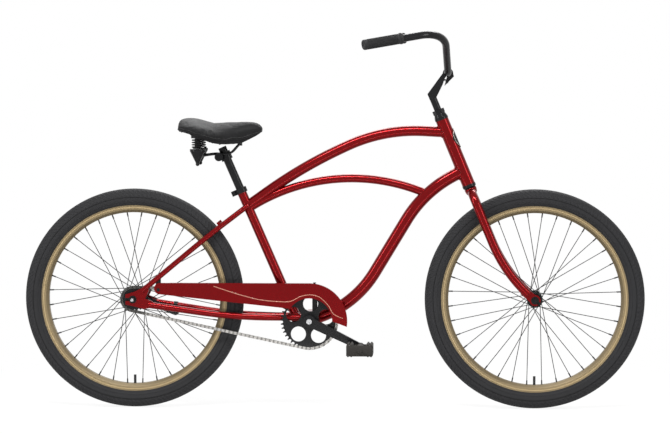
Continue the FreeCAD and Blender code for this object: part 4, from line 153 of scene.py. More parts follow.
# Trim: x and z of the guard's line, radius and height of the fork collar, share of the badge inside its rim
STRIPE_RISE = 0.00025
STRIPE_ROUTE = (
    (-0.367, 0.3775), (-0.325, 0.3635), (-0.281, 0.350), (-0.226, 0.3365), (-0.178, 0.3315),
    (-0.140, 0.3305), (-0.122, 0.3355), (-0.105, 0.345), (-0.087, 0.3505), (-0.069, 0.352),
    (-0.054, 0.349), (-0.039, 0.3425), (-0.016, 0.320), (-0.0035, 0.2975), (0.009, 0.288),
    (0.029, 0.2795),
)
WELD_FIT = 0.00012
WELD_SECTORS = 40
WELD_STEP = 0.0019
WELD_RADIUS = 0.0024
WELD_STRETCH = 0.55
COLLAR = (
    (0.0148, -0.031), (0.0172, -0.027), (0.0186, -0.019), (0.0188, -0.0125), (0.015, -0.0121),
    (0.0148, -0.031),
)
BADGE_WIRE = 0.0008
BADGE_SHARE = 0.9

# Stage: name, place, width, depth and watts of each lamp, then the floor and its shadow
LAMPS = (
    ("key", (-0.3, -2.0, 3.7), 3.2, 0.6, 165.0),
    ("left", (-3.2, -1.7, 1.5), 0.6, 2.4, 50.0),
    ("right", (3.2, -1.9, 1.5), 0.6, 2.4, 42.0),
    ("rim", (0.2, 2.4, 3.2), 3.2, 1.0, 110.0),
    ("low", (0.0, -1.1, 0.03), 3.0, 0.1, 7.0),
)
LAMP_AIM = (0, 0, 0.55)
SOFT_LIGHT = 0.2
FLOOR_REACH = 14.0
SHADOW_NEAR = 0.7
SHADOW_FAR = 1.5
SHADOW_SHARE = 0.14


# Node graphs


class Wire:
    """A value in a node graph that takes part in sums as a number does."""

    def __init__(self, graph, socket):
        self.graph = graph
        self.socket = socket

    def work(self, operation, *terms):
        """Adds a Math node on the terms."""
        return self.graph.add("ShaderNodeMath", {"operation": operation}, dict(enumerate(terms)))

    def __add__(self, other):
        return self.work("ADD", self, other)

    def __radd__(self, other):
        return self.work("ADD", other, self)

    def __sub__(self, other):
        return self.work("SUBTRACT", self, other)

    def __rsub__(self, other):
        return self.work("SUBTRACT", other, self)

    def __mul__(self, other):
        return self.work("MULTIPLY", self, other)

    def __rmul__(self, other):
        return self.work("MULTIPLY", other, self)

    def __truediv__(self, other):
        return self.work("DIVIDE", self, other)

    def __rtruediv__(self, other):
        return self.work("DIVIDE", other, self)

    def __mod__(self, other):
        return self.work("FLOORED_MODULO", self, other)

    def __pow__(self, other):
        return self.work("POWER", self, other)

    def __abs__(self):
        return self.work("ABSOLUTE", self)


class Graph:
    """A node tree, with one way to add a node to it."""

    def __init__(self, tree):
        self.tree = tree

    def feed(self, node, sockets):
        """Sets a node's sockets to values or links."""
        for key, value in sockets.items():
            socket = node.inputs[key]
            if isinstance(value, Wire):
                self.tree.links.new(value.socket, socket)
            elif socket.type == "RGBA" and len(value) == 3:
                socket.default_value = (*value, 1)
            else:
                socket.default_value = value

    def add(self, kind, settings=None, sockets=None, output=0):
        """Adds a node: its settings first, then its sockets' values or links."""
        node = self.tree.nodes.new(kind)
        for key, value in (settings or {}).items():
            setattr(node, key, value)
        self.feed(node, sockets or {})
        return Wire(self, node.outputs[output])


class Finish(Graph):
    """One material, with its shader and the nodes that feed it."""

    def __init__(self, name, **shader):
        self.material = bpy.data.materials.new(name)
        self.material.use_nodes = True
        super().__init__(self.material.node_tree)
        self.shader = self.tree.nodes["Principled BSDF"]
        self.done(**shader)

    def place(self):
        return self.add("ShaderNodeTexCoord", output="Object")

    def around(self, centre):
        """Coordinates on a wheel: along its axle, out from the axle and round it."""
        spot = self.add("ShaderNodeVectorMath", {"operation": "SUBTRACT"}, {0: self.place(), 1: centre})
        x, y, z = [self.add("ShaderNodeSeparateXYZ", None, {0: spot}, axis) for axis in "XYZ"]
        return y, (x * x + z * z) ** 0.5, x.work("ARCTAN2", z, x)

    def noise(self, scale, detail=3.0, place=None):
        return self.add(
            "ShaderNodeTexNoise", None, {"Vector": place or self.place(), "Scale": scale, "Detail": detail}
        )

    def ramp(self, value, low, high):
        """0 below low, 1 above high and a smooth rise between them."""
        return self.add(
            "ShaderNodeMapRange",
            {"interpolation_type": "SMOOTHSTEP"},
            {"Value": value, "From Min": low, "From Max": high},
        )

    def mix(self, share, first, second):
        """The first colour at a share of 0 and the second at 1."""
        return self.add("ShaderNodeMix", {"data_type": "RGBA"}, {0: share, 6: first, 7: second}, 2)

    def bump(self, height, strength, distance):
        normal = self.add(
            "ShaderNodeBump", None, {"Height": height, "Strength": strength, "Distance": distance}
        )
        self.feed(self.shader, {"Normal": normal})

    def done(self, **sockets):
        """Sets the shader's sockets, named in small letters, and gives the material."""
        names = {socket.name.lower().replace(" ", "_"): socket.name for socket in self.shader.inputs}
        self.feed(self.shader, {names[key]: value for key, value in sockets.items()})
        return self.material


def rgb(colour):
    return tuple(colour)[:3]


def shade(colour, by):
    """A colour made darker or lighter by a factor."""
    return tuple(channel * by for channel in rgb(colour))


def candy_paint(colour):
    """Deep red over a fine flake, under a clear coat."""
    finish = Finish(
        "candy_red", metallic=0.65, specular_ior_level=0.05, coat_weight=0.15, coat_roughness=0.02
    )
    flake = finish.ramp(finish.noise(2200.0, detail=0.0), 0.5, 0.75)
    depth = finish.noise(9.0, detail=2.0)
    tone = finish.mix(flake * 0.3, shade(colour, 0.86), shade(colour, 1.6))
    tone = finish.mix(depth * 0.3, tone, shade(colour, 0.7))
    finish.bump(finish.noise(260.0, detail=1.0), strength=0.008, distance=0.0004)
    return finish.done(base_color=tone, roughness=0.13 + 0.08 * finish.noise(40.0))


def gloss_black(colour):
    """Black enamel on forged and tubular metal, a little dusty and rubbed."""
    finish = Finish("gloss_black", specular_ior_level=0.09, coat_weight=0.1, coat_roughness=0.05)
    haze = finish.noise(35.0, detail=4.0)
    speck = finish.ramp(finish.noise(420.0, detail=2.0), 0.6, 0.72)
    tone = finish.mix(haze * 0.5, rgb(colour), shade(colour, 2.0))
    tone = finish.mix(speck * 0.15, tone, shade(colour, 5.0))
    finish.bump(finish.noise(300.0, detail=2.0), strength=0.015, distance=0.0004)
    return finish.done(base_color=tone, roughness=0.14 + 0.16 * haze)


def plated(name, colour, rough):
    """Bare or plated metal with fine drawn lines."""
    finish = Finish(name, metallic=1.0)
    drawn = (900.0, 45.0, 900.0)
    stretched = finish.add("ShaderNodeMapping", None, {"Vector": finish.place(), "Scale": drawn})
    lines = finish.noise(1.0, detail=3.0, place=stretched)
    stain = finish.ramp(finish.noise(60.0, detail=4.0), 0.5, 0.8)
    tone = finish.mix(lines * 0.5, shade(colour, 0.75), shade(colour, 1.15))
    tone = finish.mix(stain * 0.35, tone, shade(colour, 0.45))
    finish.bump(lines, strength=0.05, distance=0.0003)
    return finish.done(base_color=tone, roughness=rough + 0.18 * lines)


def chain_metal(colour, run, pitch):
    """Plated links with oil spots; painted shade between rollers on the straight run and near the rear hub.
    """
    finish = Finish("chain_metal", metallic=0.85)
    oil = finish.ramp(finish.noise(420.0, detail=3.0), 0.45, 0.7)
    product = {"operation": "DOT_PRODUCT"}
    along_run = finish.add("ShaderNodeVectorMath", product, {0: finish.place(), 1: run}, "Value")
    # painted shade: each link darkens between its rollers along the straight run
    roller_gap_shade = finish.ramp(abs((along_run / pitch) % 1.0 - 0.5), 0.24, 0.1)
    tone = finish.mix(oil * 0.5, rgb(colour), shade(colour, 0.4))
    tone = finish.mix(roller_gap_shade * 0.7, tone, shade(colour, 0.15))
    # painted shade: the chain darkens near the rear hub, round the sprocket
    hub_shade = finish.ramp(finish.around(REAR_HUB)[1], *HUB_SHADE_REACH)
    tone = finish.mix(hub_shade * 0.85, tone, shade(colour, 0.05))
    finish.bump(finish.noise(900.0, detail=2.0), strength=0.1, distance=0.0003)
    return finish.done(base_color=tone, roughness=0.3 + 0.25 * oil)


def rim_bronze(name, centre, colour):
    """Olive bronze anodising with turned lines round the rim, a painted highlight line and painted shade
    inside.
    """
    finish = Finish(name, metallic=0.55)
    y, radius, turn = finish.around(centre)
    spun = finish.add("ShaderNodeCombineXYZ", None, {0: radius * 1400.0, 1: y * 1400.0, 2: turn * 3.0})
    lines = finish.noise(1.0, detail=2.0, place=spun)
    patch = finish.noise(14.0, detail=3.0)
    tone = finish.mix(lines * 0.45, shade(colour, 0.86), shade(colour, 1.12))
    tone = finish.mix(patch * 0.3, tone, shade(colour, 0.8))
    # painted highlight: a bright line round the rim
    bright = finish.ramp(abs(radius - RIM_HIGHLIGHT_LINE), 0.0026, 0.0006)
    tone = finish.mix(bright * 0.8, tone, shade(colour, 1.75))
    # painted shade: darker towards the rim's inner edge
    tone = finish.mix(finish.ramp(radius, *RIM_SHADE_EDGE) * 0.75, tone, shade(colour, 0.4))
    finish.bump(lines, strength=0.05, distance=0.0003)
    return finish.done(base_color=tone, roughness=0.36 + 0.14 * lines)


def spoke_black(colour):
    """Black oxide on the spokes, bright where it is worn."""
    finish = Finish("spoke_black", metallic=0.8)
    worn = finish.ramp(finish.noise(260.0, detail=3.0), 0.55, 0.75)
    tone = finish.mix(worn * 0.4, rgb(colour), shade(colour, 3.0))
    return finish.done(base_color=tone, roughness=0.32 + 0.2 * worn)


def tyre_rubber(name, centre, colour):
    """Balloon tyre: worn crown, painted shade in rib gaps and a groove line, dusty wall and a fine line at
    the bead.
    """
    finish = Finish(name, specular_ior_level=0.12)
    y, radius, _ = finish.around(centre)
    crown = finish.ramp(radius, *TYRE_CROWN)
    lane = (abs(y) * MILLIMETRES) % LANE_MILLIMETRES
    between = 1.0 - finish.ramp(abs(lane - LANE_MILLIMETRES / 2), 0.35, 0.8)
    groove = finish.ramp(radius, *TYRE_GROOVES) * between
    ring = finish.ramp(abs(radius - TYRE_SHADE_LINE), 0.0016, 0.0005)
    bead = finish.ramp(abs(radius - TYRE_BEAD), 0.0012, 0.0004)
    grain = finish.noise(700.0, detail=3.0)
    dust = finish.noise(18.0, detail=4.0)
    tone = finish.mix(dust * 0.6, rgb(colour), shade(colour, 1.6))
    tone = finish.mix(crown * 0.45, tone, shade(colour, 1.35))
    # painted shade: darker in the gaps between the ribs and in the groove line
    groove_shade = ring.work("MINIMUM", groove + ring, 1.0)
    tone = finish.mix(groove_shade * 0.8, tone, shade(colour, 0.3))
    tone = finish.mix(bead * 0.4, tone, shade(colour, 2.2))
    finish.bump(0.12 * grain + bead - 1.2 * groove, strength=0.5, distance=0.0012)
    return finish.done(base_color=tone, roughness=0.6 + 0.2 * grain)


def soft_rubber(name, colour, fineness=900.0):
    """Dull moulded rubber with a fine grain."""
    finish = Finish(name, specular_ior_level=0.2)
    grain = finish.noise(fineness, detail=3.0)
    worn = finish.noise(30.0, detail=3.0)
    tone = finish.mix(worn * 0.6, rgb(colour), shade(colour, 1.9))
    finish.bump(grain, strength=0.25, distance=0.0006)
    return finish.done(base_color=tone, roughness=0.55 + 0.2 * grain)


def vinyl(colour):
    """Black saddle vinyl with an embossed leather grain, painted shade in its creases and polished patches.
    """
    finish = Finish("saddle_vinyl", specular_ior_level=0.1)
    edges = {"feature": "DISTANCE_TO_EDGE"}
    pebble = finish.add("ShaderNodeTexVoronoi", edges, {"Vector": finish.place(), "Scale": 520.0})
    crease = finish.ramp(pebble, 0.0, 0.22)
    crumple = finish.noise(90.0, detail=4.0)
    rubbed = finish.noise(16.0, detail=3.0)
    # painted shade: the grain darkens in its creases
    tone = finish.mix(crease, shade(colour, 0.5), rgb(colour))
    tone = finish.mix(rubbed * 0.5, tone, shade(colour, 1.9))
    finish.bump(crease * 0.7 + crumple * 0.4, strength=0.3, distance=0.0006)
    return finish.done(base_color=tone, roughness=0.4 + 0.24 * (1.0 - rubbed))


def pinstripe_paint(colour):
    """The tan line's enamel."""
    finish = Finish("pinstripe_tan", coat_weight=0.2, coat_roughness=0.05)
    tone = finish.mix(finish.noise(120.0) * 0.5, rgb(colour), shade(colour, 0.8))
    return finish.done(base_color=tone, roughness=0.35 + 0.1 * finish.noise(60.0))


def thread_fibre(colour):
    """Twisted sewing thread."""
    finish = Finish("seam_thread")
    twist = finish.noise(2500.0, detail=2.0)
    tone = finish.mix(twist, shade(colour, 0.6), shade(colour, 1.4))
    finish.bump(twist, strength=0.3, distance=0.0003)
    return finish.done(base_color=tone, roughness=0.7 + 0.1 * twist)


# Repeats


class Growth(Graph):
    """A Geometry Nodes group that repeats a shape."""

    def __init__(self, name):
        super().__init__(bpy.data.node_groups.new(name, "GeometryNodeTree"))
        self.tree.interface.new_socket("Geometry", in_out="OUTPUT", socket_type="NodeSocketGeometry")
        self.entry = self.tree.nodes.new("NodeGroupInput")
        self.source = self.value("Geometry", "NodeSocketGeometry")

    def value(self, name, kind):
        self.tree.interface.new_socket(name, in_out="INPUT", socket_type=kind)
        return Wire(self, self.entry.outputs[name])

    def end(self, points, shape, material, **sockets):
        """Puts the shape on the points, makes it real and gives it its material."""
        spread = self.add(
            "GeometryNodeInstanceOnPoints", None, {"Points": points, "Instance": shape, **sockets}
        )
        solid = self.add("GeometryNodeRealizeInstances", None, {0: spread})
        smooth = self.add("GeometryNodeSetShadeSmooth", None, {0: solid})
        dressed = self.add("GeometryNodeSetMaterial", None, {"Geometry": smooth, "Material": material})
        self.tree.links.new(dressed.socket, self.tree.nodes.new("NodeGroupOutput").inputs[0])

    def grow(self, mesh, **values):
        """Runs the group on a mesh and gives the result as a plain mesh."""
        piece = bpy.data.objects.new(self.tree.name, mesh)
        bpy.context.scene.collection.objects.link(piece)
        modifier = piece.modifiers.new("growth", "NODES")
        modifier.node_group = self.tree
        for item in self.tree.interface.items_tree:
            if item.in_out == "INPUT" and item.name in values:
                modifier[item.identifier] = values[item.name]
        result = evaluated(piece)
        bpy.data.objects.remove(piece)
        return result


def ring_growth(material):
    """Copies of the mesh, turned about the Z axis."""
    growth = Growth("ring_of_copies")
    count = growth.value("Count", "NodeSocketInt")
    points = growth.add("GeometryNodePoints", None, {"Count": count})
    turn = growth.add("GeometryNodeInputIndex") * (2 * math.pi) / count
    spin = growth.add("ShaderNodeCombineXYZ", None, {2: turn})
    rotation = growth.add("FunctionNodeEulerToRotation", None, {0: spin})
    growth.end(points, growth.source, material, Rotation=rotation)
    return growth


def row_growth(material):
    """Copies of the mesh in a row."""
    growth = Growth("row_of_copies")
    count = growth.value("Count", "NodeSocketInt")
    step = growth.value("Step", "NodeSocketVector")
    points = growth.add("GeometryNodeMeshLine", None, {"Count": count, "Offset": step})
    growth.end(points, growth.source, material)
    return growth


def bead_growth(material):
    """Small ovals along a line, one at each step."""
    growth = Growth("beads_on_a_line")
    step = growth.value("Step", "NodeSocketFloat")
    radius = growth.value("Radius", "NodeSocketFloat")
    stretch = growth.value("Stretch", "NodeSocketFloat")
    curve = growth.add("GeometryNodeMeshToCurve", None, {0: growth.source})
    spread = {"mode": "LENGTH"}
    points = growth.add("GeometryNodeCurveToPoints", spread, {"Curve": curve, "Length": step})
    rotation = Wire(growth, points.socket.node.outputs["Rotation"])
    oval = growth.add("GeometryNodeMeshUVSphere", None, {"Segments": 10, "Rings": 6, "Radius": radius})
    scale = growth.add("ShaderNodeCombineXYZ", None, {0: 1.0, 1: 1.0, 2: stretch})
    growth.end(points, oval, material, Rotation=rotation, Scale=scale)
    return growth


# Meshes


def evaluated(piece):
    """A piece as its modifiers leave it, as a plain mesh."""
    whole = piece.evaluated_get(bpy.context.evaluated_depsgraph_get())
    return bpy.data.meshes.new_from_object(whole)


def link(mesh, name, material):
    """Puts a mesh with one material into the scene."""
    piece = bpy.data.objects.new(name, mesh)
    bpy.context.scene.collection.objects.link(piece)
    piece.data.materials.clear()
    piece.data.materials.append(material)
    return piece


def mesh_of(name, vertices, faces, edges=()):
    """A smooth mesh with its doubles merged and its faces turned outwards, or a line if it has no faces."""
    mesh = bpy.data.meshes.new(name)
    mesh.from_pydata([tuple(vertex) for vertex in vertices], list(edges), faces)
    if faces:
        build = bmesh.new()
        build.from_mesh(mesh)
        bmesh.ops.remove_doubles(build, verts=build.verts, dist=SAME_PLACE)
        bmesh.ops.recalc_face_normals(build, faces=build.faces)
        build.to_mesh(mesh)
        build.free()
        mesh.shade_smooth()
    return mesh


def line_mesh(name, points):
    """A closed line through the points."""
    count = len(points)
    return mesh_of(name, points, [], [(number, (number + 1) % count) for number in range(count)])


def skin(name, rings, caps=True, loop=False):
    """A surface over closed rings of points, with its ends capped or the last ring joined to the first."""
    count = len(rings[0])
    last = (len(rings) - 1) * count
    faces = [tuple(range(count)), tuple(range(last, last + count))] if caps else []
    for ring in range(len(rings) if loop else len(rings) - 1):
        near, far = ring * count, (ring + 1) % len(rings) * count
        for number in range(count):
            after = (number + 1) % count
            faces.append((near + number, near + after, far + after, far + number))
    return mesh_of(name, [point for ring in rings for point in ring], faces)


def turns(count):
    """The angles of equal steps once round."""
    return [2 * math.pi * number / count for number in range(count)]


def joined(name, meshes):
    """One mesh out of several."""
    build = bmesh.new()
    for mesh in meshes:
        build.from_mesh(mesh)
    whole = bpy.data.meshes.new(name)
    build.to_mesh(whole)
    build.free()
    whole.shade_smooth()
    return whole


def lathe(name, profile, count=64):
    """Turns a profile of (radius, height) about the Z axis."""
    vertices = []
    faces = []
    steps = len(profile)
    for number, turn in enumerate(turns(count)):
        for radius, height in profile:
            vertices.append((radius * math.cos(turn), radius * math.sin(turn), height))
        after = (number + 1) % count
        for step in range(steps - 1):
            near, far = number * steps + step, after * steps + step
            faces.append((near, far, far + 1, near + 1))
    return mesh_of(name, vertices, faces)


def bar(name, half_width, height, start, end, base):
    """A rounded rib that stands up from the height base and runs along Y from start to end."""
    section = [(-1.0, -0.3), (-0.85, 0.55), (-0.45, 1.0), (0.45, 1.0), (0.85, 0.55), (1.0, -0.3)]
    stations = [(start, 0.55), (start + half_width, 1.0), (end - half_width, 1.0), (end, 0.55)]
    rings = []
    for y, share in stations:
        wide, tall = half_width * share, height * share
        rings.append([(across * wide, y, base + up * tall) for across, up in section])
    return skin(name, rings)


def tube(name, points, radius, sides=8):
    """A round wire along a closed line of points."""
    section = [Vector((radius * math.cos(turn), radius * math.sin(turn), 0)) for turn in turns(sides)]
    rings = []
    for number, point in enumerate(points):
        run = points[(number + 1) % len(points)] - points[number - 1]
        lean = run.to_track_quat("Z", "Y").to_matrix()
        rings.append([point + lean @ corner for corner in section])
    return skin(name, rings, caps=False, loop=True)


def hoop(name, radius, height, thickness):
    """A ring of round wire about the Z axis."""
    points = [Vector((radius * math.cos(turn), radius * math.sin(turn), height)) for turn in turns(180)]
    return tube(name, points, thickness, sides=6)


def on_wheel(hub):
    """A placement at a hub whose Z axis is the wheel's axle."""
    return Matrix.Translation(hub) @ Matrix.Rotation(-math.pi / 2, 4, "X")


def along(start, towards):
    """A placement at start whose Z axis points towards another place."""
    turn = (Vector(towards) - Vector(start)).to_track_quat("Z", "Y").to_matrix().to_4x4()
    return Matrix.Translation(start) @ turn


def facing(place, target):
    """A placement whose -Z axis points at the target, as a lamp or a camera looks."""
    look = Vector(target) - Vector(place)
    return Matrix.Translation(place) @ look.to_track_quat("-Z", "Y").to_matrix().to_4x4()


def node_points(name):
    """Corners of a CAD node in the shared frame."""
    count = len(NODES[name].data.vertices)
    flat = np.empty(count * 3, dtype=np.float32)
    NODES[name].data.vertices.foreach_get("co", flat)
    return flat.reshape(-1, 3).astype(float)


def long_axis(name):
    """The two ends of a long CAD node's axis, the one nearer the middle plane last."""
    points = node_points(name)
    middle = (points.max(axis=0) + points.min(axis=0)) / 2
    direction = np.linalg.svd(points - points.mean(axis=0), full_matrices=False)[2][0]
    reach = (points - middle) @ direction
    centre = middle + direction * (reach.max() + reach.min()) / 2
    half = direction * (reach.max() - reach.min()) / 2
    return sorted((Vector(centre - half), Vector(centre + half)), key=lambda end: -abs(end.y))


def joint_line(name, place, direction, radius):
    """The outer edge of a tube's end where it was cut to sit on a round tube of that axis and radius."""
    points = node_points(name)
    offset = points - np.array(place)
    axis = np.array(direction) / np.linalg.norm(direction)
    away = np.linalg.norm(offset - np.outer(offset @ axis, axis), axis=1)
    on_tube = points[np.abs(away - radius) < WELD_FIT]
    middle = on_tube.mean(axis=0)
    spread = on_tube - middle
    first, second = np.linalg.svd(spread, full_matrices=False)[2][:2]
    bearings = np.arctan2(spread @ second, spread @ first)
    ring = []
    for step in range(WELD_SECTORS):
        centre = 2 * math.pi * (step + 0.5) / WELD_SECTORS - math.pi
        chosen = np.abs(bearings - centre) < math.pi / WELD_SECTORS
        if chosen.any():
            sector = on_tube[chosen]
            ring.append(Vector(sector[np.argmax(np.linalg.norm(sector - middle, axis=1))]))
    return ring


def set_material(nodes, material):
    """Gives CAD nodes a material all over."""
    for name in nodes:
        slots = NODES[name].data.materials
        for number in range(len(slots)):
            slots[number] = material
        if not len(slots):
            slots.append(material)


def dress(mesh, name, material, body):
    """Adds a piece with its material to a body of the frame."""
    piece = link(mesh, name, material)
    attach(piece, body)
    return piece


# Settings


class PaintSettings(bpy.types.PropertyGroup):
    frame_red: bpy.props.FloatVectorProperty(
        name="Frame red", description="Candy paint of frame, fork and guard", subtype="COLOR",
        default=(0.168, 0.0016, 0.0028), min=0, max=1,
    )
    trim_black: bpy.props.FloatVectorProperty(
        name="Trim black", description="Enamel of bar, stem, cranks and hubs", subtype="COLOR",
        default=(0.006, 0.006, 0.0065), min=0, max=1,
    )
    rim_colour: bpy.props.FloatVectorProperty(
        name="Rim bronze", description="Anodising of both rims", subtype="COLOR",
        default=(0.225, 0.17, 0.09), min=0, max=1,
    )
    chain_colour: bpy.props.FloatVectorProperty(
        name="Chain", description="Plating of the chain", subtype="COLOR",
        default=(0.31, 0.3, 0.285), min=0, max=1,
    )
    chain_pitch: bpy.props.FloatProperty(
        name="Chain pitch", description="From one roller of the chain to the next", unit="LENGTH",
        default=0.0127, min=0.005, max=0.03,
    )
    chain_drop: bpy.props.FloatProperty(
        name="Chain drop", description="Chainring's pitch radius less the sprocket's", unit="LENGTH",
        default=0.0484, min=0, max=0.1,
    )
    stripe_tan: bpy.props.FloatVectorProperty(
        name="Stripe tan", description="Thin line on the chain guard", subtype="COLOR",
        default=(0.4, 0.155, 0.1), min=0, max=1,
    )
    stripe_width: bpy.props.FloatProperty(
        name="Stripe width", description="Width of the thin line", subtype="DISTANCE", unit="LENGTH",
        default=0.0022, min=0.0005, max=0.01,
    )


class RubberSettings(bpy.types.PropertyGroup):
    tyre_colour: bpy.props.FloatVectorProperty(
        name="Tyre", description="Tread and sidewall rubber", subtype="COLOR",
        default=(0.016, 0.016, 0.017), min=0, max=1,
    )
    grip_colour: bpy.props.FloatVectorProperty(
        name="Grip", description="Rubber of grips and pedals", subtype="COLOR",
        default=(0.011, 0.011, 0.0115), min=0, max=1,
    )
    tread_ribs: bpy.props.IntProperty(
        name="Tread ribs", description="Slanted ribs on each shoulder of a tyre",
        default=150, min=20, max=400,
    )
    tread_width: bpy.props.FloatProperty(
        name="Tread width", description="Width of a slanted rib", unit="LENGTH", default=0.0065,
        min=0.001, max=0.02,
    )
    tread_height: bpy.props.FloatProperty(
        name="Tread height", description="How far ribs and moulded lines stand out", unit="LENGTH",
        default=0.0008, min=0.0002, max=0.004,
    )
    tread_slant: bpy.props.FloatProperty(
        name="Tread slant", description="How far a rib runs round the tyre", unit="LENGTH", default=0.022,
        min=0, max=0.06,
    )
    grip_ribs: bpy.props.IntProperty(
        name="Grip ribs", description="Ribs round each grip", default=36, min=8, max=80,
    )
    rib_height: bpy.props.FloatProperty(
        name="Rib height", description="How far the grip's ribs stand out", unit="LENGTH",
        default=0.0008, min=0.0002, max=0.003,
    )
    pedal_colour: bpy.props.FloatVectorProperty(
        name="Pedals", description="Rubber of the pedal blocks", subtype="COLOR",
        default=(0.014, 0.0125, 0.011), min=0, max=1,
    )
    pedal_bar: bpy.props.FloatProperty(
        name="Pedal block", description="Length of each rubber block of a pedal", unit="LENGTH",
        default=0.02, min=0.005, max=0.05,
    )
    tread_step: bpy.props.FloatProperty(
        name="Tread step", description="From one tread lug of a pedal to the next", unit="LENGTH",
        default=0.0098, min=0.002, max=0.02,
    )


class SaddleSettings(bpy.types.PropertyGroup):
    vinyl_colour: bpy.props.FloatVectorProperty(
        name="Vinyl", description="Cover of the saddle", subtype="COLOR",
        default=(0.0085, 0.0085, 0.009), min=0, max=1,
    )
    pressure: bpy.props.FloatProperty(
        name="Filling", description="Pressure of the foam under the cover", default=4.0, min=0, max=20,
    )
    slack: bpy.props.FloatProperty(
        name="Slack", description="How far the cover starts inside its final form", unit="LENGTH",
        default=0.003, min=0, max=0.02,
    )
    skirt: bpy.props.FloatProperty(
        name="Skirt", description="How far the cover's edge hangs over the pan", unit="LENGTH",
        default=0.009, min=0, max=0.02,
    )
    tuck: bpy.props.FloatProperty(
        name="Tuck", description="How far the back edge of the cover is drawn in", unit="LENGTH",
        default=0.005, min=0, max=0.02,
    )
    swell: bpy.props.FloatProperty(
        name="Swell", description="Most that the filling moves the cover", unit="LENGTH",
        default=0.006, min=0, max=0.02,
    )
    seam_height: bpy.props.FloatProperty(
        name="Seam height", description="Share of the side at which the seam runs", subtype="FACTOR",
        default=0.2, min=0, max=1,
    )
    thread_colour: bpy.props.FloatVectorProperty(
        name="Thread", description="Stitches above the seam", subtype="COLOR",
        default=(0.05, 0.05, 0.05), min=0, max=1,
    )


class StageSettings(bpy.types.PropertyGroup):
    distance: bpy.props.FloatProperty(
        name="Distance", description="From the camera to the bicycle's middle plane", unit="LENGTH",
        default=9.0, min=1, max=20,
    )
    height: bpy.props.FloatProperty(
        name="Height", description="Camera height", unit="LENGTH", default=1.15, min=0, max=4,
    )
    aside: bpy.props.FloatProperty(
        name="Aside", description="Camera offset towards the front wheel", unit="LENGTH",
        default=0.35, min=-2, max=2,
    )
    aim: bpy.props.FloatVectorProperty(
        name="Aim", description="Place that the camera looks at", subtype="XYZ", unit="LENGTH",
        default=(0.0025, 0.0, 0.5866),
    )
    width: bpy.props.FloatProperty(
        name="View width", description="Width of the view at the bicycle's middle plane", unit="LENGTH",
        default=2.0535, min=0.5, max=5,
    )


# Operators


PAINTED = (
    "head_tube", "top_tube", "middle_tube", "down_tube", "seat_tube", "bottom_bracket_shell", "chain_stays",
    "seat_stays", "dropouts", "frame_fittings", "fork_blade_right", "fork_blade_left", "fork_ends",
    "chain_guard", "steerer",
)
BLACK = (
    "headset_cups", "headset_races", "stem", "handlebar", "seat_post", "seat_clamp", "saddle_clamp",
    "saddle_rails", "spring_cups", "saddle_springs", "crank_arm_right", "crank_arm_left", "chainring",
    "chain_guard_brackets", "brake_arm", "front_hub", "rear_hub", "head_badge", "saddle_base",
    "front_axle_nuts", "rear_axle_nuts", "front_axle", "frame_screws", "rear_sprocket",
)
STEEL = (
    "stem_bolts", "crank_bolts", "crank_spindle", "pedal_spindles", "bottom_bracket_cups", "rear_axle",
)
STEEL_GREY = (0.42, 0.42, 0.43)
SPOKE_GREY = (0.02, 0.02, 0.02)
BADGE_GREY = (0.5, 0.47, 0.42)


class CRUISER_OT_paint(bpy.types.Operator):
    """Candy red on the frame, fork and guard"""
    bl_idname = "cruiser.paint"
    bl_label = "Paint the frame"

    def execute(self, context):
        set_material(PAINTED, candy_paint(context.scene.cruiser_paint.frame_red))
        return {"FINISHED"}


class CRUISER_OT_metal(bpy.types.Operator):
    """Black enamel, plated steel, chain, rims and spokes"""
    bl_idname = "cruiser.metal"
    bl_label = "Finish the metal"

    def execute(self, context):
        paint = context.scene.cruiser_paint
        set_material(BLACK, gloss_black(paint.trim_black))
        set_material(STEEL, plated("plated_steel", STEEL_GREY, 0.24))
        lower = Vector((0, 0, paint.chain_drop))
        run = (BRACKET - lower - REAR_HUB).normalized()
        set_material(["chain"], chain_metal(paint.chain_colour, run, paint.chain_pitch))
        for end, hub in WHEELS:
            bronze = rim_bronze(end + "_rim_bronze", hub, paint.rim_colour)
            set_material([end + "_rim"], bronze)
            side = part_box(end + "_rim")[1].y
            rings = [hoop("ridge", radius, y, RIDGE_WIRE) for radius in RIM_RIDGES for y in (-side, side)]
            ridges = joined(end + "_rim_ridges", rings)
            ridges.transform(on_wheel(hub))
            dress(ridges, end + "_rim_ridges", bronze, end + "_wheel")
        set_material(["front_spokes", "rear_spokes"], spoke_black(SPOKE_GREY))
        return {"FINISHED"}


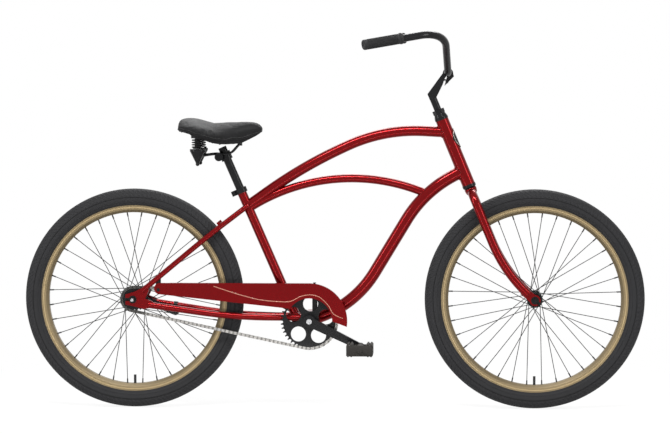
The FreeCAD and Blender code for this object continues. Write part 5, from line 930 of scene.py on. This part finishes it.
class CRUISER_OT_tyres(bpy.types.Operator):
    """Rubber with slanted ribs and moulded lines on both tyres"""
    bl_idname = "cruiser.tyres"
    bl_label = "Finish the tyres"

    def execute(self, context):
        rubber = context.scene.cruiser_rubber
        tube_rubber = soft_rubber("tube_rubber", rubber.tyre_colour)
        set_material(["front_inner_tube", "rear_inner_tube"], tube_rubber)
        for end, hub in WHEELS:
            node = end + "_tyre"
            material = tyre_rubber(node + "_rubber", hub, rubber.tyre_colour)
            set_material([node], material)
            low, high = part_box(node)
            section = (high.y - low.y) / 2
            ring = (high.x - low.x) / 2 - section
            growth = ring_growth(material)
            parts = []
            for side in (-1, 1):
                rib = self.rib(ring, section, side, rubber)
                parts.append(growth.grow(rib, Count=rubber.tread_ribs))
                for slope in MOULDED_LINE_DEGREES:
                    lean = math.radians(slope)
                    radius, y = ring + section * math.cos(lean), side * section * math.sin(lean)
                    parts.append(hoop("moulded_line", radius, y, rubber.tread_height))
            tread = joined(end + "_tread", parts)
            tread.transform(on_wheel(hub))
            dress(tread, end + "_tread", material, end + "_wheel")
        return {"FINISHED"}

    def rib(self, ring, section, side, rubber):
        """A slanted rib over one shoulder of the tyre, about the Z axis."""
        steps = 8
        profile = ((-1.0, 0), (-0.7, 1), (0.7, 1), (1.0, 0))
        rings = []
        for step in range(steps + 1):
            share = step / steps
            lean = math.radians(TREAD_FROM_DEGREES + TREAD_SPAN_DEGREES * share)
            rise = rubber.tread_height * min(1.0, 4 * share, 4 - 4 * share)
            corners = []
            for across, top in profile:
                reach = section + (rise if top else -rubber.tread_height)
                slant = rubber.tread_slant * (share - 0.5) + across * rubber.tread_width / 2
                corners.append((ring + reach * math.cos(lean), slant, side * reach * math.sin(lean)))
            rings.append(corners)
        return skin("rib", rings)


class CRUISER_OT_grips(bpy.types.Operator):
    """Ribbed rubber grips on both ends of the bar"""
    bl_idname = "cruiser.grips"
    bl_label = "Fit the grips"

    def execute(self, context):
        rubber = context.scene.cruiser_rubber
        material = soft_rubber("grip_rubber", rubber.grip_colour)
        growth = ring_growth(material)
        upright = Matrix(((0, 0, 1, 0), (1, 0, 0, 0), (0, 1, 0, 0), (0, 0, 0, 1)))
        for side in ("right", "left"):
            node = "grip_" + side
            set_material([node], material)
            outer, inner = long_axis(node)
            length = (inner - outer).length
            sleeve = lathe("sleeve", self.profile(length))
            stop = length - GRIP_RIB_STOP
            rib = bar("rib", GRIP_RIB_HALF, rubber.rib_height, GRIP_RIB_START, stop, GRIP_SLEEVE)
            rib.transform(upright)
            ribs = growth.grow(rib, Count=rubber.grip_ribs)
            whole = joined(node + "_rubber", [sleeve, ribs])
            whole.transform(along(outer, inner))
            piece = dress(whole, node + "_rubber", material, "fork")
            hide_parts(node)
        return {"FINISHED"}

    def profile(self, length):
        """Radius and height from the closed outer end to the inner end, and back along the bar."""
        collar = [(radius, length + height) for radius, height in GRIP_COLLAR]
        return [*GRIP_CAP, *collar, *GRIP_BORE]


class CRUISER_OT_pedals(bpy.types.Operator):
    """Rubber blocks with tread lugs, end plates and dust caps on both pedals"""
    bl_idname = "cruiser.pedals"
    bl_label = "Fit the pedals"

    def execute(self, context):
        rubber = context.scene.cruiser_rubber
        material = soft_rubber("pedal_rubber", rubber.pedal_colour, 500.0)
        growth = row_growth(material)
        for side, out in (("right", -1), ("left", 1)):
            node = "pedal_" + side
            set_material([node], material)
            low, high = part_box(node)
            middle = (low + high) / 2
            half = (high - low) / 2
            parts = []
            lug = bar("lug", LUG_HALF, LUG_HEIGHT, LUG_INSET - half.y, half.y - LUG_INSET, half.z)
            lugs = growth.grow(lug, Count=2, Step=(rubber.tread_step, 0, 0))
            for ahead in (-1, 1):
                start = ahead * (half.x - rubber.pedal_bar / 2) - rubber.tread_step / 2
                for turn in (0, math.pi):
                    row = lugs.copy()
                    row.transform(Matrix.Rotation(turn, 4, "Y") @ Matrix.Translation((start, 0, 0)))
                    parts.append(row)
            parts.append(self.plate(half, out))
            whole = joined(node + "_tread", parts)
            whole.transform(Matrix.Translation(middle))
            dress(whole, node + "_tread", material, side + "_pedal")
        return {"FINISHED"}

    def plate(self, half, out):
        """A rounded plate on the outer end, with a dust cap over the spindle."""
        wide = half.x - PLATE_INSET - PLATE_CORNER
        tall = half.z + PLATE_LIP - PLATE_CORNER
        outline = []
        for across, up, start in ((1, 1, 0), (-1, 1, 90), (-1, -1, 180), (1, -1, 270)):
            for step in range(5):
                turn = math.radians(start + 22.5 * step)
                outline.append(
                    (
                        across * wide + PLATE_CORNER * math.cos(turn),
                        up * tall + PLATE_CORNER * math.sin(turn),
                    )
                )
        rings = []
        for share, lift in PLATE_LEVELS:
            rings.append([(x * share, out * (half.y + lift), z * share) for x, z in outline])
        cap = lathe("cap", DUST_CAP, 32)
        face = half.y + PLATE_LEVELS[0][1]
        cap.transform(along((0, out * face, 0), (0, out * 2, 0)))
        return joined("end", [skin("plate", rings), cap])


class CRUISER_OT_saddle(bpy.types.Operator):
    """A filled vinyl cover with piping and a row of stitches"""
    bl_idname = "cruiser.saddle"
    bl_label = "Cover the saddle"

    def execute(self, context):
        settings = context.scene.cruiser_saddle
        material = vinyl(settings.vinyl_colour)
        set_material(["saddle_pad"], material)
        cover = self.cover(context.scene, settings, material)
        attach(cover, "saddle")
        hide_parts("saddle_pad")
        piping = self.seam(cover, settings.seam_height)
        dress(tube("saddle_piping", piping, PIPING), "saddle_piping", material, "saddle")
        thread = thread_fibre(settings.thread_colour)
        stitches = bead_growth(thread).grow(
            line_mesh("stitch_line", self.seam(cover, settings.seam_height + STITCH_RISE)),
            Step=STITCH_STEP,
            Radius=STITCH_RADIUS,
            Stretch=STITCH_STRETCH,
        )
        dress(stitches, "saddle_stitches", thread, "saddle")
        return {"FINISHED"}

    def settle(self, piece, kind, **settings):
        """Adds a modifier, makes its result the piece's mesh and takes it off again."""
        modifier = piece.modifiers.new(kind.lower(), kind)
        for key, value in settings.items():
            setattr(modifier, key, value)
        piece.data = evaluated(piece)
        piece.modifiers.remove(modifier)

    def cover(self, scene, settings, material):
        """The pad's form, drawn in by the slack, hung over the pan and filled again."""
        build = bmesh.new()
        build.from_mesh(NODES["saddle_pad"].data)
        bmesh.ops.remove_doubles(build, verts=build.verts, dist=PAD_JOIN)
        bmesh.ops.recalc_face_normals(build, faces=build.faces)
        build.normal_update()
        for vertex in build.verts:
            if vertex.normal.z > SIDE_NORMAL:
                vertex.co -= vertex.normal * settings.slack
        mesh = bpy.data.meshes.new("saddle_cover")
        build.to_mesh(mesh)
        build.free()
        cover = link(mesh, "saddle_cover", material)
        self.settle(cover, "REMESH", mode="VOXEL", voxel_size=COVER_GRAIN)
        self.hang(cover.data, settings)
        self.fill(scene, cover, settings)
        self.settle(cover, "SUBSURF", levels=1, render_levels=1)
        cover.data.shade_smooth()
        return cover

    def hang(self, mesh, settings):
        """Draws the side of the cover down over the pan and its back edge in."""
        table = node_points("saddle_pad")
        back = float(table[:, 0].min())
        for vertex in mesh.vertices:
            near = table[np.abs(table[:, 0] - vertex.co.x) < COVER_SLICE]
            low, high = float(near[:, 2].min()), float(near[:, 2].max())
            share = min(max((high - vertex.co.z) / (high - low), 0.0), 1.0)
            if vertex.normal.z > UNDERSIDE_NORMAL:
                vertex.co.z -= settings.skirt * share ** 2
            behind = max(1.0 - (vertex.co.x - back) / TUCK_REACH, 0.0)
            vertex.co.x += settings.tuck * share ** 2 * behind
        mesh.update()

    def fill(self, scene, cover, settings):
        """Blows the cover up with its hem held, and limits how far each point moves."""
        rest = [vertex.co.copy() for vertex in cover.data.vertices]
        hem = cover.vertex_groups.new(name="hem")
        held = [vertex.index for vertex in cover.data.vertices if vertex.normal.z < HEM_NORMAL]
        hem.add(held, 1.0, "REPLACE")
        modifier = cover.modifiers.new("filling", "CLOTH")
        cloth = modifier.settings
        cloth.vertex_group_mass = hem.name
        cloth.use_pressure = True
        cloth.uniform_pressure_force = settings.pressure
        cloth.effector_weights.gravity = 0
        cloth.quality = 6
        last = 20
        modifier.point_cache.frame_start = 1
        modifier.point_cache.frame_end = last
        for number in range(1, last + 1):
            scene.frame_set(number)
        filled = evaluated(cover)
        cover.modifiers.remove(modifier)
        cover.data = filled
        for vertex, start in zip(filled.vertices, rest):
            move = vertex.co - start
            if move.length > settings.swell:
                vertex.co = start + move * (settings.swell / move.length)
        filled.update()
        cover.vertex_groups.clear()
        scene.frame_set(1)

    def seam(self, cover, share):
        """A closed line round the side of the cover, at a share of its local height."""
        mesh = cover.data
        corners = [vertex.co.copy() for vertex in mesh.vertices]
        surface = BVHTree.FromPolygons(corners, [tuple(face.vertices) for face in mesh.polygons])
        table = np.array(corners)
        middle = table[:, 0].mean()
        high, low = table[:, 2].max(), table[:, 2].min()
        line = []
        for turn in turns(180):
            out = Vector((math.cos(turn), math.sin(turn), 0))
            height = (high + low) / 2
            for _ in range(3):
                start = Vector((middle, 0, height)) + out * SEAM_FROM
                hit, normal = surface.ray_cast(start, -out)[:2]
                if hit is None:
                    raise RuntimeError("the seam misses the saddle cover")
                slab = table[np.abs(table[:, 0] - hit.x) < SEAM_SLICE]
                height = slab[:, 2].min() + share * (slab[:, 2].max() - slab[:, 2].min())
            line.append(hit + normal * SEAM_LIFT)
        return line


class CRUISER_OT_springs(bpy.types.Operator):
    """Coil springs between the seat post's cups and the saddle, a merged copy of the CAD coils"""
    bl_idname = "cruiser.springs"
    bl_label = "Fit the springs"

    def execute(self, context):
        node = "saddle_springs"
        build = bmesh.new()
        build.from_mesh(NODES[node].data)
        bmesh.ops.remove_doubles(build, verts=build.verts, dist=SAME_PLACE)
        mesh = bpy.data.meshes.new("spring_coils")
        build.to_mesh(mesh)
        build.free()
        coils = link(mesh, "spring_coils", NODES[node].data.materials[0])
        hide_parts(node)
        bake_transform(coils)
        return {"FINISHED"}


class CRUISER_OT_stripe(bpy.types.Operator):
    """A thin tan line on the chain guard"""
    bl_idname = "cruiser.stripe"
    bl_label = "Line the chain guard"

    def execute(self, context):
        paint = context.scene.cruiser_paint
        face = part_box("chain_guard")[0].y
        route = self.smooth([Vector((x, 0, z)) for x, z in STRIPE_ROUTE])
        mesh = self.ribbon(route, paint.stripe_width / 2, face)
        dress(mesh, "guard_stripe", pinstripe_paint(paint.stripe_tan), "frame")
        return {"FINISHED"}

    def ribbon(self, route, half, face):
        """A thin closed band along the route that stands a little out of the guard's face."""
        front = face - STRIPE_RISE
        section = ((half, front), (-half, front), (-half, face), (half, face))
        last = len(route) - 1
        rings = []
        for number, point in enumerate(route):
            run = route[min(number + 1, last)] - route[max(number - 1, 0)]
            aside = Vector((-run.z, 0, run.x)).normalized()
            rings.append([point + aside * across + Vector((0, y, 0)) for across, y in section])
        return skin("guard_stripe", rings)

    def smooth(self, corners, steps=6):
        """A line that passes through all the corners without a kink."""
        route = []
        ends = [corners[0], *corners, corners[-1]]
        for before, start, end, after in zip(ends, ends[1:], ends[2:], ends[3:]):
            for step in range(steps):
                share = step / steps
                bend = 2 * start + share * (end - before)
                bend += share ** 2 * (2 * before - 5 * start + 4 * end - after)
                bend += share ** 3 * (3 * start - 3 * end + after - before)
                route.append(bend / 2)
        return route + [corners[-1]]


# Each weld: the tube that ends there, a joint on the axis of the tube that it meets, and that one's radius
WELDS = (
    ("top_tube", "steering", 0.02),
    ("down_tube", "steering", 0.02),
    ("down_tube", "crank_spin", 0.0285),
)


class CRUISER_OT_welds(bpy.types.Operator):
    """Rippled weld beads where the main tubes meet"""
    bl_idname = "cruiser.welds"
    bl_label = "Weld the tubes"

    def execute(self, context):
        material = NODES["top_tube"].data.materials[0]
        growth = bead_growth(material)
        beads = []
        for node, joint, radius in WELDS:
            line = joint_line(node, joint_place(joint), JOINTS[joint]["axis"], radius)
            if len(line) < WELD_SECTORS / 2:
                raise RuntimeError("no joint line found for " + node)
            guide = line_mesh(node + "_line", line)
            beads.append(growth.grow(guide, Step=WELD_STEP, Radius=WELD_RADIUS, Stretch=WELD_STRETCH))
        dress(joined("weld_beads", beads), "weld_beads", material, "frame")
        return {"FINISHED"}


class CRUISER_OT_collar(bpy.types.Operator):
    """A painted collar between the lower headset race and the fork's crown"""
    bl_idname = "cruiser.collar"
    bl_label = "Fit the fork collar"

    def execute(self, context):
        place = joint_place("steering")
        collar = lathe("fork_collar", COLLAR, 48)
        collar.transform(along(place, place + Vector(JOINTS["steering"]["axis"])))
        dress(collar, "fork_collar", NODES["fork_blade_right"].data.materials[0], "fork")
        return {"FINISHED"}


class CRUISER_OT_badge(bpy.types.Operator):
    """A bright rim round the blank head badge"""
    bl_idname = "cruiser.badge"
    bl_label = "Rim the head badge"

    def execute(self, context):
        place = joint_place("steering")
        axis = Vector(JOINTS["steering"]["axis"]).normalized()
        across = Vector((0, 1, 0))
        front = across.cross(axis)
        points = node_points("head_badge") - np.array(place)
        heights = points @ np.array(axis)
        middle, tall = (heights.max() + heights.min()) / 2, (heights.max() - heights.min()) / 2
        wide = np.abs(points[:, 1]).max()
        radius = float(np.linalg.norm(points - np.outer(heights, np.array(axis)), axis=1).max())
        line = []
        for turn in turns(72):
            reach = BADGE_SHARE * math.asin(min(wide / radius, 1)) * math.cos(turn)
            up = axis * float(middle + BADGE_SHARE * tall * math.sin(turn))
            line.append(place + up + (front * math.cos(reach) + across * math.sin(reach)) * radius)
        material = plated("badge_rim", BADGE_GREY, 0.25)
        dress(tube("badge_rim", line, BADGE_WIRE), "badge_rim", material, "frame")
        return {"FINISHED"}


class CRUISER_OT_stage(bpy.types.Operator):
    """Floor, studio light and camera"""
    bl_idname = "cruiser.stage"
    bl_label = "Set the stage"

    def execute(self, context):
        stage = context.scene.cruiser_stage
        scene = context.scene
        scene.view_settings.view_transform = "Standard"
        self.world(scene)
        self.floor()
        self.lamps()
        self.camera(scene, stage)
        return {"FINISHED"}

    def seen(self, graph):
        """1 for rays that show the background: straight to the camera, off gloss or through glass."""
        kinds = ("Is Camera Ray", "Is Glossy Ray", "Is Transmission Ray")
        rays = [graph.add("ShaderNodeLightPath", output=kind) for kind in kinds]
        return rays[0].work("MINIMUM", rays[0] + rays[1] + rays[2], 1.0)

    def world(self, scene):
        """White where it is seen, and a soft light on the bicycle."""
        world = bpy.data.worlds.new("white_room")
        world.use_nodes = True
        scene.world = world
        graph = Graph(world.node_tree)
        white = (1, 1, 1, 1)
        soft = graph.add("ShaderNodeBackground", None, {"Color": white, "Strength": SOFT_LIGHT})
        bright = graph.add("ShaderNodeBackground", None, {"Color": white, "Strength": 1.0})
        both = graph.add("ShaderNodeMixShader", None, {0: self.seen(graph), 1: soft, 2: bright})
        graph.feed(world.node_tree.nodes["World Output"], {"Surface": both})

    def floor(self):
        """A white floor that keeps a soft shadow near the wheels and runs into the background beyond."""
        corners = [(x * FLOOR_REACH, y * FLOOR_REACH, 0) for x, y in ((-1, -1), (1, -1), (1, 1), (-1, 1))]
        mesh = bpy.data.meshes.new("floor")
        mesh.from_pydata(corners, [], [(0, 1, 2, 3)])
        finish = Finish("pale_floor", roughness=0.9)
        tone = finish.mix(finish.noise(2.0) * 0.3, (0.93, 0.93, 0.93), (0.97, 0.97, 0.97))
        finish.done(base_color=tone)
        far = finish.add("ShaderNodeVectorMath", {"operation": "LENGTH"}, {0: finish.place()}, "Value")
        plain = 1.0 - SHADOW_SHARE + SHADOW_SHARE * finish.ramp(far, SHADOW_NEAR, SHADOW_FAR)
        share = self.seen(finish) * plain
        white = finish.add("ShaderNodeEmission", None, {"Strength": 1.0})
        lit = Wire(finish, finish.shader.outputs["BSDF"])
        both = finish.add("ShaderNodeMixShader", None, {0: share, 1: lit, 2: white})
        finish.feed(finish.tree.nodes["Material Output"], {"Surface": both})
        link(mesh, "floor", finish.material)

    def lamps(self):
        """Soft boxes that all look at the middle of the bicycle."""
        for name, place, wide, deep, power in LAMPS:
            lamp = bpy.data.lights.new(name, "AREA")
            lamp.shape = "RECTANGLE"
            lamp.size = wide
            lamp.size_y = deep
            lamp.energy = power
            item = bpy.data.objects.new(name, lamp)
            item.matrix_world = facing(place, LAMP_AIM)
            bpy.context.scene.collection.objects.link(item)

    def camera(self, scene, stage):
        """A long lens from the photograph's side."""
        lens = bpy.data.cameras.new("camera")
        lens.sensor_fit = "HORIZONTAL"
        lens.sensor_width = 36.0
        eye = Vector((stage.aside, -stage.distance, stage.height))
        look = Vector(stage.aim)
        lens.lens = lens.sensor_width * (look - eye).length / stage.width
        item = bpy.data.objects.new("camera", lens)
        item.matrix_world = facing(eye, look)
        scene.collection.objects.link(item)
        scene.camera = item


class CRUISER_PT_panel(bpy.types.Panel):
    """Lists the steps that dress the bicycle"""
    bl_idname = "CRUISER_PT_panel"
    bl_label = "Beach cruiser"
    bl_space_type = "VIEW_3D"
    bl_region_type = "UI"
    bl_category = "Cruiser"

    def draw(self, context):
        for group in SETTINGS:
            settings = getattr(context.scene, group)
            for name in settings.__annotations__:
                self.layout.prop(settings, name)
        for step in STEPS:
            self.layout.operator(step.bl_idname)


SETTINGS = {
    "cruiser_paint": PaintSettings,
    "cruiser_rubber": RubberSettings,
    "cruiser_saddle": SaddleSettings,
    "cruiser_stage": StageSettings,
}
STEPS = (
    CRUISER_OT_stage, CRUISER_OT_paint, CRUISER_OT_metal, CRUISER_OT_tyres, CRUISER_OT_grips,
    CRUISER_OT_pedals, CRUISER_OT_saddle, CRUISER_OT_springs, CRUISER_OT_stripe, CRUISER_OT_welds,
    CRUISER_OT_collar, CRUISER_OT_badge,
)
CLASSES = (*SETTINGS.values(), *STEPS, CRUISER_PT_panel)


def register():
    for item in CLASSES:
        bpy.utils.register_class(item)
    for name, group in SETTINGS.items():
        setattr(bpy.types.Scene, name, bpy.props.PointerProperty(type=group))


def unregister():
    for name in SETTINGS:
        delattr(bpy.types.Scene, name)
    for item in reversed(CLASSES):
        bpy.utils.unregister_class(item)


def main():
    register()
    for step in STEPS:
        group, name = step.bl_idname.split(".")
        getattr(getattr(bpy.ops, group), name)()


if __name__ == "__main__":
    main()
